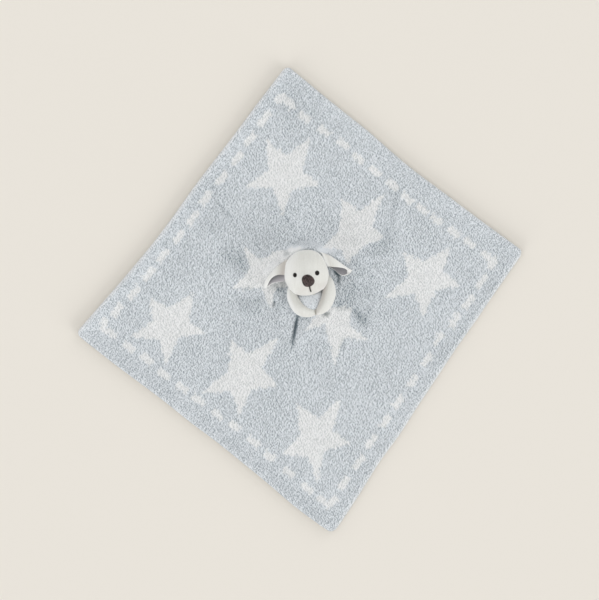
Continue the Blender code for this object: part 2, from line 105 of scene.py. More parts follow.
def addSun(name, strength, comesFrom, soft):
    lamp = bpy.data.lights.new(name, "SUN")
    lamp.energy = strength
    lamp.angle = soft
    sun = addObject(name, lamp)
    sun.rotation_mode = "QUATERNION"
    sun.rotation_quaternion = Vector(comesFrom).to_track_quat("Z", "Y")


def addLights():
    world = bpy.data.worlds.new("studio")
    bpy.context.scene.world = world
    world.use_nodes = True
    sky = world.node_tree.nodes["Background"]
    sky.inputs["Color"].default_value = (1, 1, 1, 1)
    sky.inputs["Strength"].default_value = studio["world"]
    addSun("topLight", studio["top"], studio["topFrom"], studio["topSoft"])
    for number, (place, strength) in enumerate(studio["low"]):
        addSun("lowLight" + str(number), strength, (*place, studio["lowRise"]), studio["lowSoft"])
    bpy.context.scene.view_settings.view_transform = "Standard"
    print("lights placed")


# Small tools for curves, meshes and materials

def bump(t):
    # 1 at 0, falling smoothly to 0 at 1 and beyond
    return np.where(np.abs(t) < 1, (1 - np.minimum(np.abs(t), 1) ** 2) ** 2, 0.0)


def ease(t):
    # rises smoothly from 0 to 1 while t does
    t = np.clip(t, 0, 1)
    return t * t * (3 - 2 * t)


def fullTurn(count):
    return np.arange(count) / count * 2 * math.pi


def smoothRun(knots, steps=8, closed=False):
    # points on a smooth curve through the knots
    knots = np.asarray(knots, float)
    if closed:
        padded = np.vstack([knots[-1:], knots, knots[:2]])
    else:
        padded = np.vstack([2 * knots[0] - knots[1], knots, 2 * knots[-1] - knots[-2]])
    run = []
    for a, b, c, d in zip(padded, padded[1:], padded[2:], padded[3:]):
        for t in np.arange(steps) / steps:
            run.append(0.5 * (2 * b + (c - a) * t + (2 * a - 5 * b + 4 * c - d) * t * t
                              + (3 * b - a - 3 * c + d) * t ** 3))
    if not closed:
        run.append(knots[-1])
    return np.array(run)


def runLengths(run):
    # how far along a run each of its points lies
    return np.r_[0, np.cumsum(np.linalg.norm(np.diff(run, axis=0), axis=1))]


def atShares(run, shares):
    # points at given shares of a run's length
    lengths = runLengths(run)
    lengths /= lengths[-1]
    return np.stack([np.interp(shares, lengths, run[:, i]) for i in range(run.shape[1])], axis=1)


def fromSegment(points, start, end):
    # each point's share along a segment, and its distance from it
    run = end - start
    share = np.clip(((points - start) @ run) / (run @ run), 0, 1)
    return share, np.linalg.norm(points - start - share[..., None] * run, axis=-1)


def outlineReach(outline, middle, height, angle):
    # how far a closed outline, given in pixels, lies from its middle in each direction
    run = smoothRun([spot(*point, height) for point in outline], closed=True)
    away = run - spot(*middle, height)
    angles = np.arctan2(away[:, 1], away[:, 0])
    order = np.argsort(angles)
    return np.interp(angle, angles[order], np.linalg.norm(away, axis=1)[order],
                     period=2 * math.pi)


def insidePolygon(points, corners):
    x, y = points[:, 0], points[:, 1]
    inside = np.zeros(len(points), bool)
    for (ax, ay), (bx, by) in zip(corners, np.roll(corners, -1, axis=0)):
        crosses = (ay > y) != (by > y)
        with np.errstate(divide="ignore", invalid="ignore"):
            inside ^= crosses & (x < (bx - ax) * (y - ay) / (by - ay) + ax)
    return inside


def gridFaces(rows, columns, closed=False, first=0):
    # quads of a grid of points stored row after row, closed round if asked
    row = np.arange(rows - 1)[:, None] * columns
    column = np.arange(columns if closed else columns - 1)[None, :]
    following = (column + 1) % columns
    quads = np.stack([row + column, row + following, row + columns + following,
                      row + columns + column], axis=-1)
    return quads.reshape(-1, 4) + first


def tubeFaces(rows, around):
    # a tube of rings, with its two ends closed
    ring = np.arange(around)[None, :]
    return [gridFaces(rows, around, closed=True), ring[:, ::-1], ring + (rows - 1) * around]


def turned(faces):
    return [part[:, ::-1] for part in faces]


def addAttribute(mesh, key, values):
    mesh.attributes.new(key, "FLOAT", "POINT").data.foreach_set(
        "value", np.asarray(values, np.float32))


def vertexValues(mesh, key):
    values = np.zeros(len(mesh.vertices) * 3, np.float32)
    mesh.vertices.foreach_get(key, values)
    return values.reshape(-1, 3)


def makeMesh(name, points, faces):
    # faces is a list of arrays, each of faces with as many corners as it has columns
    mesh = bpy.data.meshes.new(name)
    mesh.vertices.add(len(points))
    mesh.vertices.foreach_set("co", np.asarray(points, np.float32).ravel())
    corners = np.concatenate([np.asarray(part).ravel() for part in faces])
    sizes = np.concatenate([np.full(len(part), np.asarray(part).shape[1]) for part in faces])
    mesh.loops.add(len(corners))
    mesh.loops.foreach_set("vertex_index", corners.astype(np.int32))
    mesh.polygons.add(len(sizes))
    mesh.polygons.foreach_set("loop_start", np.r_[0, np.cumsum(sizes)[:-1]].astype(np.int32))
    mesh.polygons.foreach_set("use_smooth", np.ones(len(sizes), bool))
    mesh.update(calc_edges=True)
    mesh.validate()
    form = bmesh.new()
    form.from_mesh(mesh)
    bmesh.ops.recalc_face_normals(form, faces=form.faces)
    form.to_mesh(mesh)
    form.free()
    return mesh


def addPiece(name, mesh, material):
    mesh.materials.append(material)
    return addObject(name, mesh)


def settle(piece):
    # applies the piece's modifiers to its mesh
    bpy.context.view_layer.update()
    shown = piece.evaluated_get(bpy.context.evaluated_depsgraph_get())
    mesh = bpy.data.meshes.new_from_object(shown)
    piece.modifiers.clear()
    piece.data = mesh
    mesh.shade_smooth()


def linear(hexColour):
    # an sRGB hex colour as linear light
    levels = [int(hexColour[i:i + 2], 16) / 255 for i in (1, 3, 5)]
    return tuple(c / 12.92 if c <= 0.04045 else ((c + 0.055) / 1.055) ** 2.4
                 for c in levels) + (1.0,)


def addNode(tree, kind, inputs, out=0, **settings):
    # adds a node, sets or links its inputs and gives one of its outputs
    node = tree.nodes.new("ShaderNode" + kind)
    for key, value in settings.items():
        setattr(node, key, value)
    for key, value in inputs.items():
        if isinstance(value, bpy.types.NodeSocket):
            tree.links.new(value, node.inputs[key])
        else:
            node.inputs[key].default_value = value
    return node.outputs[out]


def newMaterial(name, finish):
    # finish holds the shader's values; none of these fabrics, threads and paints is metallic
    material = bpy.data.materials.new(name)
    material.use_nodes = True
    tree = material.node_tree
    shader = tree.nodes["Principled BSDF"]
    for key, value in {"Metallic": 0, **finish}.items():
        shader.inputs[key].default_value = value
    return material, tree, shader


def grain(tree, size, detail, stretch=(1, 1, 1), distortion=0.0, shift=(0, 0, 0)):
    # noise whose lumps are about size across, drawn out along an axis by a small stretch
    place = addNode(tree, "TexCoord", {}, "Object")
    scaled = addNode(tree, "Mapping", {"Vector": place, "Scale": stretch, "Location": shift})
    return addNode(tree, "TexNoise", {"Vector": scaled, "Scale": 1 / size, "Detail": detail,
                                      "Distortion": distortion}, "Fac")


def dress(material, tree, shader, colour, height, depth, strength):
    # gives the shader its colour, and its relief from the same pattern's height
    normal = addNode(tree, "Bump", {"Height": height, "Distance": depth, "Strength": strength})
    tree.links.new(colour, shader.inputs["Base Color"])
    tree.links.new(normal, shader.inputs["Normal"])
    return material


# Blanket

blanketLook = {
    "corners": {"left": (75.8, 333.5), "top": (286.7, 65.5), "right": (523.6, 251.9),
                "bottom": (332.9, 533.6)},
    "sides": {"topRight": ("top", "right"), "bottomRight": ("bottom", "right"),
              "leftBottom": ("left", "bottom"), "leftTop": ("left", "top")},
    # how far each side bows outward, in pixels, at ten even places from the first corner named
    "bows": {"topRight": (-0.3, -1.1, -1.4, -1.5, -3.2, -4.0, -3.2, -2.5, -1.7, -0.5),
             "bottomRight": (0.4, -0.2, -1.4, -0.3, -1.1, -1.3, -1.7, -0.9, -0.8, -0.2),
             "leftBottom": (0.1, 0.3, -0.4, -0.9, -0.4, -1.1, -0.5, 0.3, 1.9, 1.2),
             "leftTop": (-0.8, -2.6, -4.1, -4.9, -4.2, -2.5, -2.0, -1.7, -0.7, -0.2)},
    "side": 400 * mm,
    "cells": 280,                   # of the upper face; the underside has half as many
    "base": 3.9 * mm,               # top of the ground knit, under the tufts
    "underBase": 0.9 * mm,          # level of the underside's ground, over its own tufts
    "leastRise": 0.05 * mm,         # of the underside over the floor
    "edgeRound": 1.5 * mm,
    "cornerRound": 7.5 * mm,
    "selvedge": 4.6 * mm,           # flatter, lighter strip along the edge, its paleness partly painted light
    "selvedgeTufts": 0.35,          # share of the tufts' height that is left at the edge
    # for each side: how high its edge curls up, in millimetres, and how pale its strip is, partly
    # painted light
    "curl": {"leftTop": 5.5, "topRight": 5.0, "bottomRight": 1.6, "leftBottom": 3.8},
    "paleSelvedgeAndPaintedLight": {"leftTop": 0.8, "topRight": 0.15, "bottomRight": 0.5, "leftBottom": 0.1},
    "curlReach": 22 * mm,
    "tuftSeeds": (11, 23),          # for the upper face and the underside
    "tuftLength": (3.2 * mm, 5.2 * mm),
    "tuftWidth": (1.7 * mm, 2.2 * mm),
    "tuftRise": (0.5 * mm, 1.05 * mm),
    "tuftPitch": (2.3 * mm, 2.6 * mm),
    "tuftStray": 0.42,              # as a share of the pitch
    "tuftMargin": 0.004,            # nearest to the edge, as a share of the side
    "tuftBend": 0.16,               # how much a tuft curls, as a share of its length
    "tuftBendBack": 0.3,            # sets a curled tuft back over its own place
    "tuftTurn": math.radians(128),  # the way that most tufts lie, from the cloth's first side
    "tuftTurnSpread": 0.5,
    "underTufts": 0.8,              # height of the underside's tufts, as a share
    "raggedEdge": 0.95 * mm,        # how far the stars' outlines stray
    "soften": (0.5, 0.25),          # how far neighbouring heights and yarns mix
    "tuftTop": 0.75,                # share of the tallest tuft from which it has no painted shade
    "gapShade": 0.22,               # painted shade between the tufts
    "creaseShade": 1.2 * mm,        # depth of a crease that adds 1 to the painted shade
    # outlines of the knitted stars in pixels: tip, notch, tip, notch and so on
    "stars": (
        ((266.5, 140), (286, 155), (311, 138), (302, 171), (321, 184), (292, 190), (283, 216),
         (273, 188), (244, 187), (268, 171)),
        ((342, 199), (360, 211), (385, 193), (372, 224), (385, 239), (366, 244), (347, 264),
         (341, 250), (322, 248), (339, 231)),
        ((404, 252), (425, 261), (451, 246), (443, 271), (461, 285), (436, 291), (423, 317),
         (415, 294), (384, 298), (408, 277)),
        ((151, 298), (169, 308), (194, 292), (189, 322), (206, 333), (178, 338), (166, 365),
         (160, 340), (130, 336), (152, 321)),
        ((231, 341), (249, 353), (279, 337), (262, 368), (278, 386), (251, 390), (239, 418),
         (232, 391), (202, 393), (228, 371)),
        ((297, 405), (318, 418), (342, 398), (333, 430), (350, 444), (325, 450), (317, 482),
         (308, 457), (281, 454), (300, 436)),
        ((242, 245), (251, 251.5), (259, 259), (267, 258), (275, 251.4), (287, 249.2), (302, 247.6),
         (288, 268), (300, 288), (276, 287.5), (272.8, 296.5), (272.4, 309), (266, 300), (262, 288),
         (231, 289), (245.5, 275), (250, 265.5)),
        ((318, 309), (335, 307), (352, 307), (350, 325), (368, 341), (344, 338), (334, 366),
         (325, 324), (305, 331), (315, 316)),
    ),
    # middles of the knitted dashes, in pixels
    "dashes": {
        "topRight": ((304.6, 117), (324.3, 131.3), (343, 143.8), (358.2, 158), (375.2, 171.4),
                     (392.1, 184.8), (407.3, 198.2), (422.5, 209.8), (436.8, 219.6), (453.8, 232.1),
                     (469.8, 242.9)),
        "bottomRight": ((482.3, 281.7), (468.9, 302), (454.6, 320.6), (438.6, 338.6), (427, 360),
                        (412.7, 381.4), (399.3, 401.1), (385.9, 420.7), (371.6, 441.3),
                        (358.2, 462.7), (343.9, 483.2)),
        "leftBottom": ((307.3, 488.6), (288.6, 472.5), (269.8, 456.4), (253.8, 442.1), (235, 426.1),
                       (217.1, 414.5), (198.4, 400.2), (182.3, 387.7), (163.6, 374.3),
                       (147.5, 359.1), (128.8, 347.5)),
        "leftTop": ((117.5, 310), (133.7, 293), (149, 274.2), (163.6, 255.4), (178.8, 236.6),
                    (193, 217.9), (206.4, 198.2), (221.6, 178.6), (236.8, 158.9), (250.2, 139.3),
                    (264.5, 118.8)),
    },
    # half length and half width of each side's dashes, in pixels
    "dashSizes": {"topRight": (6.8, 3.5), "bottomRight": (7.6, 3.2), "leftBottom": (6.8, 3.4),
                  "leftTop": (8.0, 3.3)},
    # lines through the bent dashes of the corners, and their half width, in pixels
    "cornerDashes": (
        ((277, 101), (283, 96.5), (292, 105.5)), ((483, 253), (494, 261), (490, 267)),
        ((320, 498.5), (328, 505.5), (335, 499.5)), ((104.6, 320.7), (103, 328), (113.6, 335)),
    ),
    "cornerDashWidth": 3.4,
    # folds: start and end pixel, height in millimetres, half width in pixels
    "folds": (
        ((304, 322), (296, 354), 3.6, 8.5), ((401, 172), (389, 240), 1.6, 10),
        ((261, 240), (206, 190), 1.2, 12), ((267.5, 301.5), (220.8, 314), 1.6, 11),
        ((348, 301), (390, 335), 2.0, 10), ((291, 256), (262, 278), 9.0, 6.5),
        ((313, 247), (347, 262), 9.0, 6.5), ((276, 200), (304, 244), 1.8, 8),
    ),
    # creases, also painted as shade: start and end pixel, depth in millimetres, half width in pixels
    "creases": (
        ((299.4, 304), (291.5, 352), 3.2, 2.5), ((338.7, 272), (337.8, 286), 1.9, 2.1),
        ((275.2, 298), (272.8, 309), 2.0, 1.6), ((277.6, 303), (278.4, 312), 0.7, 2.0),
        ((331.5, 267.5), (341, 278), 3.2, 2.3), ((280, 277), (288, 290), 1.0, 3.5),
        ((350, 307), (364, 319), 0.9, 5.0), ((345, 343), (343, 350), 0.7, 2.6),
        ((399, 176), (390, 236), 0.4, 4.0), ((85, 320), (280, 80), 0.5, 3.0),
        ((208, 188), (242, 236), 0.4, 4.0), ((276, 203), (300, 240), 0.35, 4.0),
        ((320.5, 312.6), (331, 314.2), 2.6, 3.7), ((355, 305), (368, 330), 0.9, 7.0),
        ((341, 342), (346, 352), 0.5, 3.0), ((250, 260), (238, 279), 0.3, 6.0),
        ((95.5, 331), (289, 85), 0.17, 8.0),
    ),
    "creaseTaper": 0.96,            # 1 lets a crease fade to nothing at its ends
    # patches of painted shade, or below 0 of painted light, mostly where shade and light fall round
    # the toy:
    # pixel, half width and half height in pixels, and how much
    "pressed": (
        ((240, 263), 15, 14, 0.50), ((234, 252), 24, 14, 0.28), ((352, 291), 17, 24, 0.40),
        ((352, 262), 16, 14, 0.30), ((386, 240), 20, 20, 0.38), ((250, 303), 24, 11, 0.32),
        ((278, 288), 9, 7, 0.80), ((356, 240), 12, 8, 0.35), ((210, 225), 26, 20, 0.20),
        ((366, 322), 12, 14, 0.20), ((318, 350), 20, 16, 0.15), ((310, 299), 14, 13, -1.05),
        ((296, 249), 13, 6, -1.60), ((326, 250), 14, 6, -1.20), ((280, 253), 8, 6, -0.30),
        ((268, 270), 12, 14, -0.40), ((305, 318), 7, 4, 0.60), ((316, 317), 6, 5, -0.50),
        ((346, 305), 14, 9, 0.30), ((356, 314), 8, 11, 0.20), ((283, 297), 5, 15, 0.25),
        ((339, 304), 6, 11, 0.55), ((286.4, 253.5), 4.5, 5.5, 1.30), ((250, 277), 10, 10, 0.40),
        ((375, 252), 15, 9, 0.35), ((370, 290), 14, 26, 0.28), ((342, 341), 6, 8, 0.40),
        ((247, 243), 9, 7, -0.25), ((326, 313.4), 5, 2.6, 0.90), ((318.5, 293), 6, 7, -1.50),
        ((346, 309), 7, 4, 0.60), ((330.5, 273), 4, 5, -1.00), ((276.5, 267), 6, 5, -0.50),
        ((247, 289), 8, 5, 0.40), ((225, 262), 8, 26, 0.18), ((360, 272), 7, 9, 0.35),
        ((250, 311), 18, 7, 0.25), ((368, 310), 7, 8, 0.35), ((250, 251), 9, 6, -0.15),
        ((274, 285), 8, 4.5, 0.60), ((321, 251), 8, 4, -1.00), ((339, 273), 4, 4, 0.40),
        ((357, 319), 6, 6, 0.30), ((296, 245), 10, 4, 0.35), ((294, 105), 34, 60, 0.16),
        ((150, 387), 14, 12, -0.10), ((228, 328), 16, 13, 0.09), ((333, 518), 12, 12, -0.07),
    ),
    # cloth that stands up behind the head, hugging its outline between two directions
    "nape": {"rise": 14 * mm, "off": 2 * mm, "reach": 11 * mm, "from": math.radians(50),
             "to": math.radians(150), "fade": math.radians(24)},
    "pouch": {"peak": (308.9, 298.2), "rise": 8.2 * mm, "halfWidth": 16 * mm,
              "front": 14.5 * mm, "back": 22 * mm, "turn": math.radians(5.4)},
    # the puffed front of the pouch, which fills the ring of the arms
    "chest": {
        "outline": ((296.5, 295.5), (298.5, 302), (302, 307.5), (307, 310.8), (312, 312),
                    (317, 310.8), (321, 305.5), (323.2, 299), (324, 293.5), (322.4, 289.4),
                    (316, 290.2), (309, 291.6), (301, 292.8)),
        "middle": (310.2, 300.5), "rise": 11.3 * mm, "fullness": 6,
    },
}


def sideRun(name, start, end, shares):
    # points along one side of the blanket, bowed as the photo shows
    along = (end - start) / np.linalg.norm(end - start)
    outward = np.array([along[1], -along[0]])
    middle = np.mean(list(blanketLook["corners"].values()), axis=0)
    if outward @ ((start + end) / 2 - middle) < 0:
        outward = -outward
    bows = blanketLook["bows"][name]
    places = (np.arange(len(bows)) + 0.5) / len(bows)
    dense = smoothRun(np.stack([(0, *places, 1), (0, *bows, 0)], axis=1))
    bow = np.interp(shares, dense[:, 0], dense[:, 1])
    return start + (end - start) * shares[..., None] + outward * bow[..., None]


def blanketPlan(u, v):
    # plan place of the cloth's point u, v: u runs from the left corner to the bottom one
    left, top, right, bottom = (
        np.array(blanketLook["corners"][name], float) for name in ("left", "top", "right", "bottom"))
    u, v = u[..., None], v[..., None]
    sides = (sideRun("leftBottom", left, bottom, u[..., 0]) * (1 - v)
             + sideRun("topRight", top, right, u[..., 0]) * v
             + sideRun("leftTop", left, top, v[..., 0]) * (1 - u)
             + sideRun("bottomRight", bottom, right, v[..., 0]) * u)
    flat = left * (1 - u) * (1 - v) + bottom * u * (1 - v) + top * (1 - u) * v + right * u * v
    pixels = sides - flat
    return np.stack(spot(pixels[..., 0], pixels[..., 1]), axis=-1)


def roundedShares(u, v):
    # draws the four corners of the unit square in to a round
    reach = blanketLook["cornerRound"] / blanketLook["side"]
    for endU in (0, 1):
        for endV in (0, 1):
            nearU, nearV = np.abs(u - endU), np.abs(v - endV)
            pu, pv = np.clip(1 - nearU / reach, 0, 1), np.clip(1 - nearV / reach, 0, 1)
            roundU = reach * (1 - pu * np.sqrt(1 - pv ** 2 / 2))
            roundV = reach * (1 - pv * np.sqrt(1 - pu ** 2 / 2))
            both = (pu > 0) & (pv > 0)
            u = np.where(both, np.abs(endU - roundU), u)
            v = np.where(both, np.abs(endV - roundV), v)
    return u, v


def fromOutline(plan, look, height):
    # direction and distance from the middle of an outline, and the outline's own reach there
    away = plan - spot(*look["middle"], height)
    angle = np.arctan2(away[..., 1], away[..., 0])
    reach = outlineReach(look["outline"], look["middle"], height, angle)
    return angle, np.linalg.norm(away, axis=-1), reach


def napeRise(plan):
    nape = blanketLook["nape"]
    angle, distance, reach = fromOutline(plan, headLook, headLook["widest"])
    off = distance - reach - nape["off"]
    within = (ease((angle - nape["from"]) / nape["fade"] + 1)
              * ease((nape["to"] - angle) / nape["fade"] + 1))
    return nape["rise"] * bump(off / nape["reach"]) * within


def pouchRise(plan):
    pouch = blanketLook["pouch"]
    away = plan - spot(*pouch["peak"])
    cosine, sine = math.cos(pouch["turn"]), math.sin(pouch["turn"])
    across = away[..., 0] * cosine + away[..., 1] * sine
    along = -away[..., 0] * sine + away[..., 1] * cosine
    reach = np.where(along > 0, pouch["back"], pouch["front"])
    return pouch["rise"] * bump(across / pouch["halfWidth"]) * bump(along / reach)


def chestRise(plan):
    chest = blanketLook["chest"]
    distance, reach = fromOutline(plan, chest, photo["level"])[1:]
    return chest["rise"] * np.clip(1 - (distance / reach) ** chest["fullness"], 0, 1)


def lineRise(plan, start, end, height, width, taper=1.0):
    # the swell of a fold or crease that runs between two pixels and fades at its ends
    share, off = fromSegment(plan, spot(*start), spot(*end))
    return height * mm * bump(off / (width * photo["pixel"])) * bump((2 * share - 1) * taper)


def blanketRelief(plan):
    # how far the cloth lies above the floor, without its own thickness
    rise = sum(lineRise(plan, *fold) for fold in blanketLook["folds"])
    rise = np.maximum(rise, napeRise(plan)) + pouchRise(plan)
    return np.maximum(rise, chestRise(plan))


def creaseDepth(plan):
    return np.max([lineRise(plan, *crease, blanketLook["creaseTaper"])
                   for crease in blanketLook["creases"]], axis=0)


def paintedPatches(plan):
    # painted shade from the listed patches, and painted light where the amount is below 0
    depth = np.zeros(plan.shape[:-1])
    for middle, width, height, amount in blanketLook["pressed"]:
        away = (plan - spot(*middle)) / photo["pixel"]
        depth += amount * bump(np.hypot(away[..., 0] / width, away[..., 1] / height))
    return depth


def sideMix(u, v, amounts):
    # a value for each side, blended round the corners
    near = {"leftTop": u, "bottomRight": 1 - u, "leftBottom": v, "topRight": 1 - v}
    weights = {name: 1 / (share * blanketLook["side"] + mm) ** 2 for name, share in near.items()}
    return (sum(amounts[name] * weight for name, weight in weights.items())
            / sum(weights.values()))


def isWhite(plan):
    # whether a tuft there is of the off-white yarn
    look = blanketLook
    white = np.zeros(len(plan), bool)
    for star in look["stars"]:
        white |= insidePolygon(plan, np.array([spot(*point) for point in star]))
    for side, middles in look["dashes"].items():
        start, end = (spot(*look["corners"][name]) for name in look["sides"][side])
        along = (end - start) / np.linalg.norm(end - start)
        across = np.array([-along[1], along[0]])
        halfLength, halfWidth = (size * photo["pixel"] for size in look["dashSizes"][side])
        for middle in middles:
            away = plan - spot(*middle)
            white |= (np.abs(away @ along) < halfLength) & (np.abs(away @ across) < halfWidth)
    for run in look["cornerDashes"]:
        for a, b in zip(run, run[1:]):
            off = fromSegment(plan, spot(*a), spot(*b))[1]
            white |= off < look["cornerDashWidth"] * photo["pixel"]
    return white


def gridShares(cells):
    shares = np.arange(cells + 1) / cells
    return np.meshgrid(shares, shares, indexing="ij")


def tuftField(cells, seed):
    # the chenille's tufts on a grid of the cloth: height, whiteness, tint and the painted shade
    # where it lies low
    rng = np.random.default_rng(seed)
    look = blanketLook
    side, pitch = look["side"], look["side"] / cells
    counts = [int(side / step) for step in look["tuftPitch"]]
    u, v = np.meshgrid((np.arange(counts[0]) + 0.5) / counts[0],
                       (np.arange(counts[1]) + 0.5) / counts[1], indexing="ij")
    u[:, 1::2] += 0.5 / counts[0]
    stray, margin = look["tuftStray"], look["tuftMargin"]
    u = (u + rng.uniform(-stray, stray, u.shape) / counts[0]).ravel().clip(margin, 1 - margin)
    v = (v + rng.uniform(-stray, stray, v.shape) / counts[1]).ravel().clip(margin, 1 - margin)
    count = len(u)
    length = rng.uniform(*look["tuftLength"], count)
    width = rng.uniform(*look["tuftWidth"], count)
    rise = rng.uniform(*look["tuftRise"], count)
    turn = rng.normal(look["tuftTurn"], look["tuftTurnSpread"], count)
    curl = rng.uniform(-1, 1, count) * look["tuftBend"]
    white = isWhite(blanketPlan(u, v) + rng.normal(0, look["raggedEdge"], (count, 2)))
    tint = rng.uniform(0, 1, count)
    # each grid point goes to the tallest tuft over it; its height is kept in whole microns
    nodeU, nodeV = np.rint(u * cells).astype(int), np.rint(v * cells).astype(int)
    reach = int(math.ceil(look["tuftLength"][1] / 2 / pitch)) + 1
    keys = np.full((cells + 1) * (cells + 1), -1, np.int64)
    for stepU in range(-reach, reach + 1):
        for stepV in range(-reach, reach + 1):
            i, j = nodeU + stepU, nodeV + stepV
            x, y = i * pitch - u * side, j * pitch - v * side
            along = (x * np.cos(turn) + y * np.sin(turn)) / (length / 2)
            across = (-x * np.sin(turn) + y * np.cos(turn)) / (width / 2)
            across = across - curl * (along ** 2 - look["tuftBendBack"]) * length / width * 2
            inside = 1 - along ** 2 - across ** 2
            ok = (inside > 0) & (i >= 0) & (j >= 0) & (i <= cells) & (j <= cells)
            micron = (rise * np.sqrt(np.maximum(inside, 0)) * 1e6).astype(np.int64)
            key = micron * count + np.arange(count)
            np.maximum.at(keys, (i * (cells + 1) + j)[ok], key[ok])
    bare = keys < 0
    owner = np.where(bare, -1, keys % count)
    height = np.where(bare, 0, keys // count).astype(float) * 1e-6
    whiteness = np.where(bare, 0.0, white[owner])
    plan = blanketPlan(*[part.ravel() for part in gridShares(cells)])
    whiteness[bare] = isWhite(plan[bare])
    tint = np.where(bare, 0.5, tint[owner])
    shape = (cells + 1, cells + 1)
    height, whiteness, tint = (part.reshape(shape) for part in (height, whiteness, tint))
    # painted shade where a point lies low between the tufts
    paintedShade = 1 - ease(height / (look["tuftTop"] * look["tuftRise"][1]))
    return (blurred(height, look["soften"][0]), blurred(whiteness, look["soften"][1]), tint,
            paintedShade)


def blurred(field, share):
    # mixes in the mean of each point's four neighbours
    wide = np.pad(field, 1, mode="edge")
    mean = (wide[:-2, 1:-1] + wide[2:, 1:-1] + wide[1:-1, :-2] + wide[1:-1, 2:]) / 4
    return field * (1 - share) + mean * share


def clothPoints(cells, under):
    # one face of the blanket as a grid, with its attributes
    look = blanketLook
    u, v = gridShares(cells)
    edge = np.minimum(np.minimum(u, 1 - u), np.minimum(v, 1 - v)) * look["side"]
    height, white, tint, paintedShade = tuftField(cells, look["tuftSeeds"][under])
    plan = blanketPlan(*roundedShares(u, v))
    calm = look["selvedgeTufts"]
    calm = calm + (1 - calm) * ease(edge / look["selvedge"])
    rounded = np.sqrt(1 - np.clip(1 - edge / look["edgeRound"], 0, 1) ** 2)
    lift = sideMix(u, v, look["curl"]) * mm * ease(1 - edge / look["curlReach"])
    middle = (look["base"] + look["underBase"]) / 2
    if under:
        drop = middle - look["underBase"] + height * look["underTufts"] * calm
        level = np.maximum(middle - drop * rounded, look["leastRise"]) + lift
        white = 1 - white
    else:
        creased = creaseDepth(plan)
        level = middle + lift + (look["base"] - middle + height * calm - creased) * rounded
        # painted shade between tufts, in creases and in patches, taken off the selvedge; the
        # selvedge's paleness is partly painted light
        strip = bump(edge / look["selvedge"]) ** 0.5
        paintedShade = ((look["gapShade"] * paintedShade + creased / look["creaseShade"] + paintedPatches(plan))
                  * (1 - strip))
        white = np.maximum(white, sideMix(u, v, look["paleSelvedgeAndPaintedLight"]) * strip)
    points = np.concatenate([plan, (level + blanketRelief(plan))[..., None]], axis=-1)
    facts = {"yarnWhiteAndPaintedLight": white, "tuftTint": tint, "paintedShade": paintedShade}
    return points.reshape(-1, 3), {key: part.ravel() for key, part in facts.items()}


def gridRim(count, first):
    # the outer points of a square grid, in order
    line, wide = np.arange(count + 1), count + 1
    return np.concatenate([line * wide, (wide - 1) * wide + line[1:],
                           line[::-1][1:] * wide + wide - 1, line[::-1][1:-1]]) + first


def makeBlanket(material):
    cells = blanketLook["cells"]
    half = cells // 2
    upper, upperFacts = clothPoints(cells, False)
    lower, lowerFacts = clothPoints(half, True)
    first = len(upper)
    # strips of triangles join the upper face's rim to the coarser one of the underside
    upperRim, lowerRim = gridRim(cells, 0), gridRim(half, first)
    a, b, c = upperRim[0::2], upperRim[1::2], np.roll(upperRim[0::2], -1)
    d, e = lowerRim, np.roll(lowerRim, -1)
    strips = np.concatenate([np.stack(corners, 1) for corners in ((d, a, b), (d, b, e), (e, b, c))])
    faces = [gridFaces(cells + 1, cells + 1),
             gridFaces(half + 1, half + 1, first=first)[:, ::-1], strips]
    mesh = makeMesh("blanket", np.concatenate([upper, lower]), faces)
    for key in upperFacts:
        addAttribute(mesh, key, np.concatenate([upperFacts[key], lowerFacts[key]]))
    addPlanMap(mesh, first)
    print("blanket:", len(mesh.polygons), "faces")
    return addPiece("chenilleBlanket", mesh, material)


def addPlanMap(mesh, firstUnder):
    # the map that textures are stored by: the upper face at the left, the underside at the right
    margin = 0.02
    place = vertexValues(mesh, "co")[:, :2]
    low, high = place.min(0), place.max(0)
    even = (place - low) / (high - low) * (1 - 2 * margin) + margin
    even[:, 0] = even[:, 0] / 2
    even[firstUnder:, 0] += 0.5
    corner = np.zeros(len(mesh.loops), np.int32)
    mesh.loops.foreach_get("vertex_index", corner)
    layer = mesh.uv_layers.new(name="OFBake")
    layer.data.foreach_set("uv", even[corner].astype(np.float32).ravel())


# chenille knit of brushed polyester yarn: soft matt tufts that catch light at their tips, with shade
# painted between them; fibres are far finer than a pixel, so the drawn grain is 0.7 mm
chenilleLook = {
    "finish": {"Roughness": 0.92, "Sheen Weight": 0.25, "Sheen Roughness": 0.6,
               "Specular IOR Level": 0.2},
    # the paler and darker tufts of each yarn, and the painted shade between them
    "blue": ("#DDE2E6", "#E1E5E9", "#66737A"),
    "white": ("#ECEDED", "#F0F0F0", "#B2B6B6"),
    "curl": 0.68 * mm, "curlDetail": 0.3, "curlStretch": (1, 0.30, 1), "curlBend": 0.3,
    "beside": 1.8 * mm, "besideShare": -0.4,    # painted shade: each tuft shades the next one, this far on
    "wear": 55 * mm, "wearShare": 0.12,         # wide soft patches where the pile lies flatter
    # the grain is a pit below this range; the painted shade that a pit adds, and what is full shade
    "pits": (0.24, 0.40), "pitShade": 1.45, "fullShade": 2.2,
    "depth": 0.8 * mm, "strength": 0.8,
}


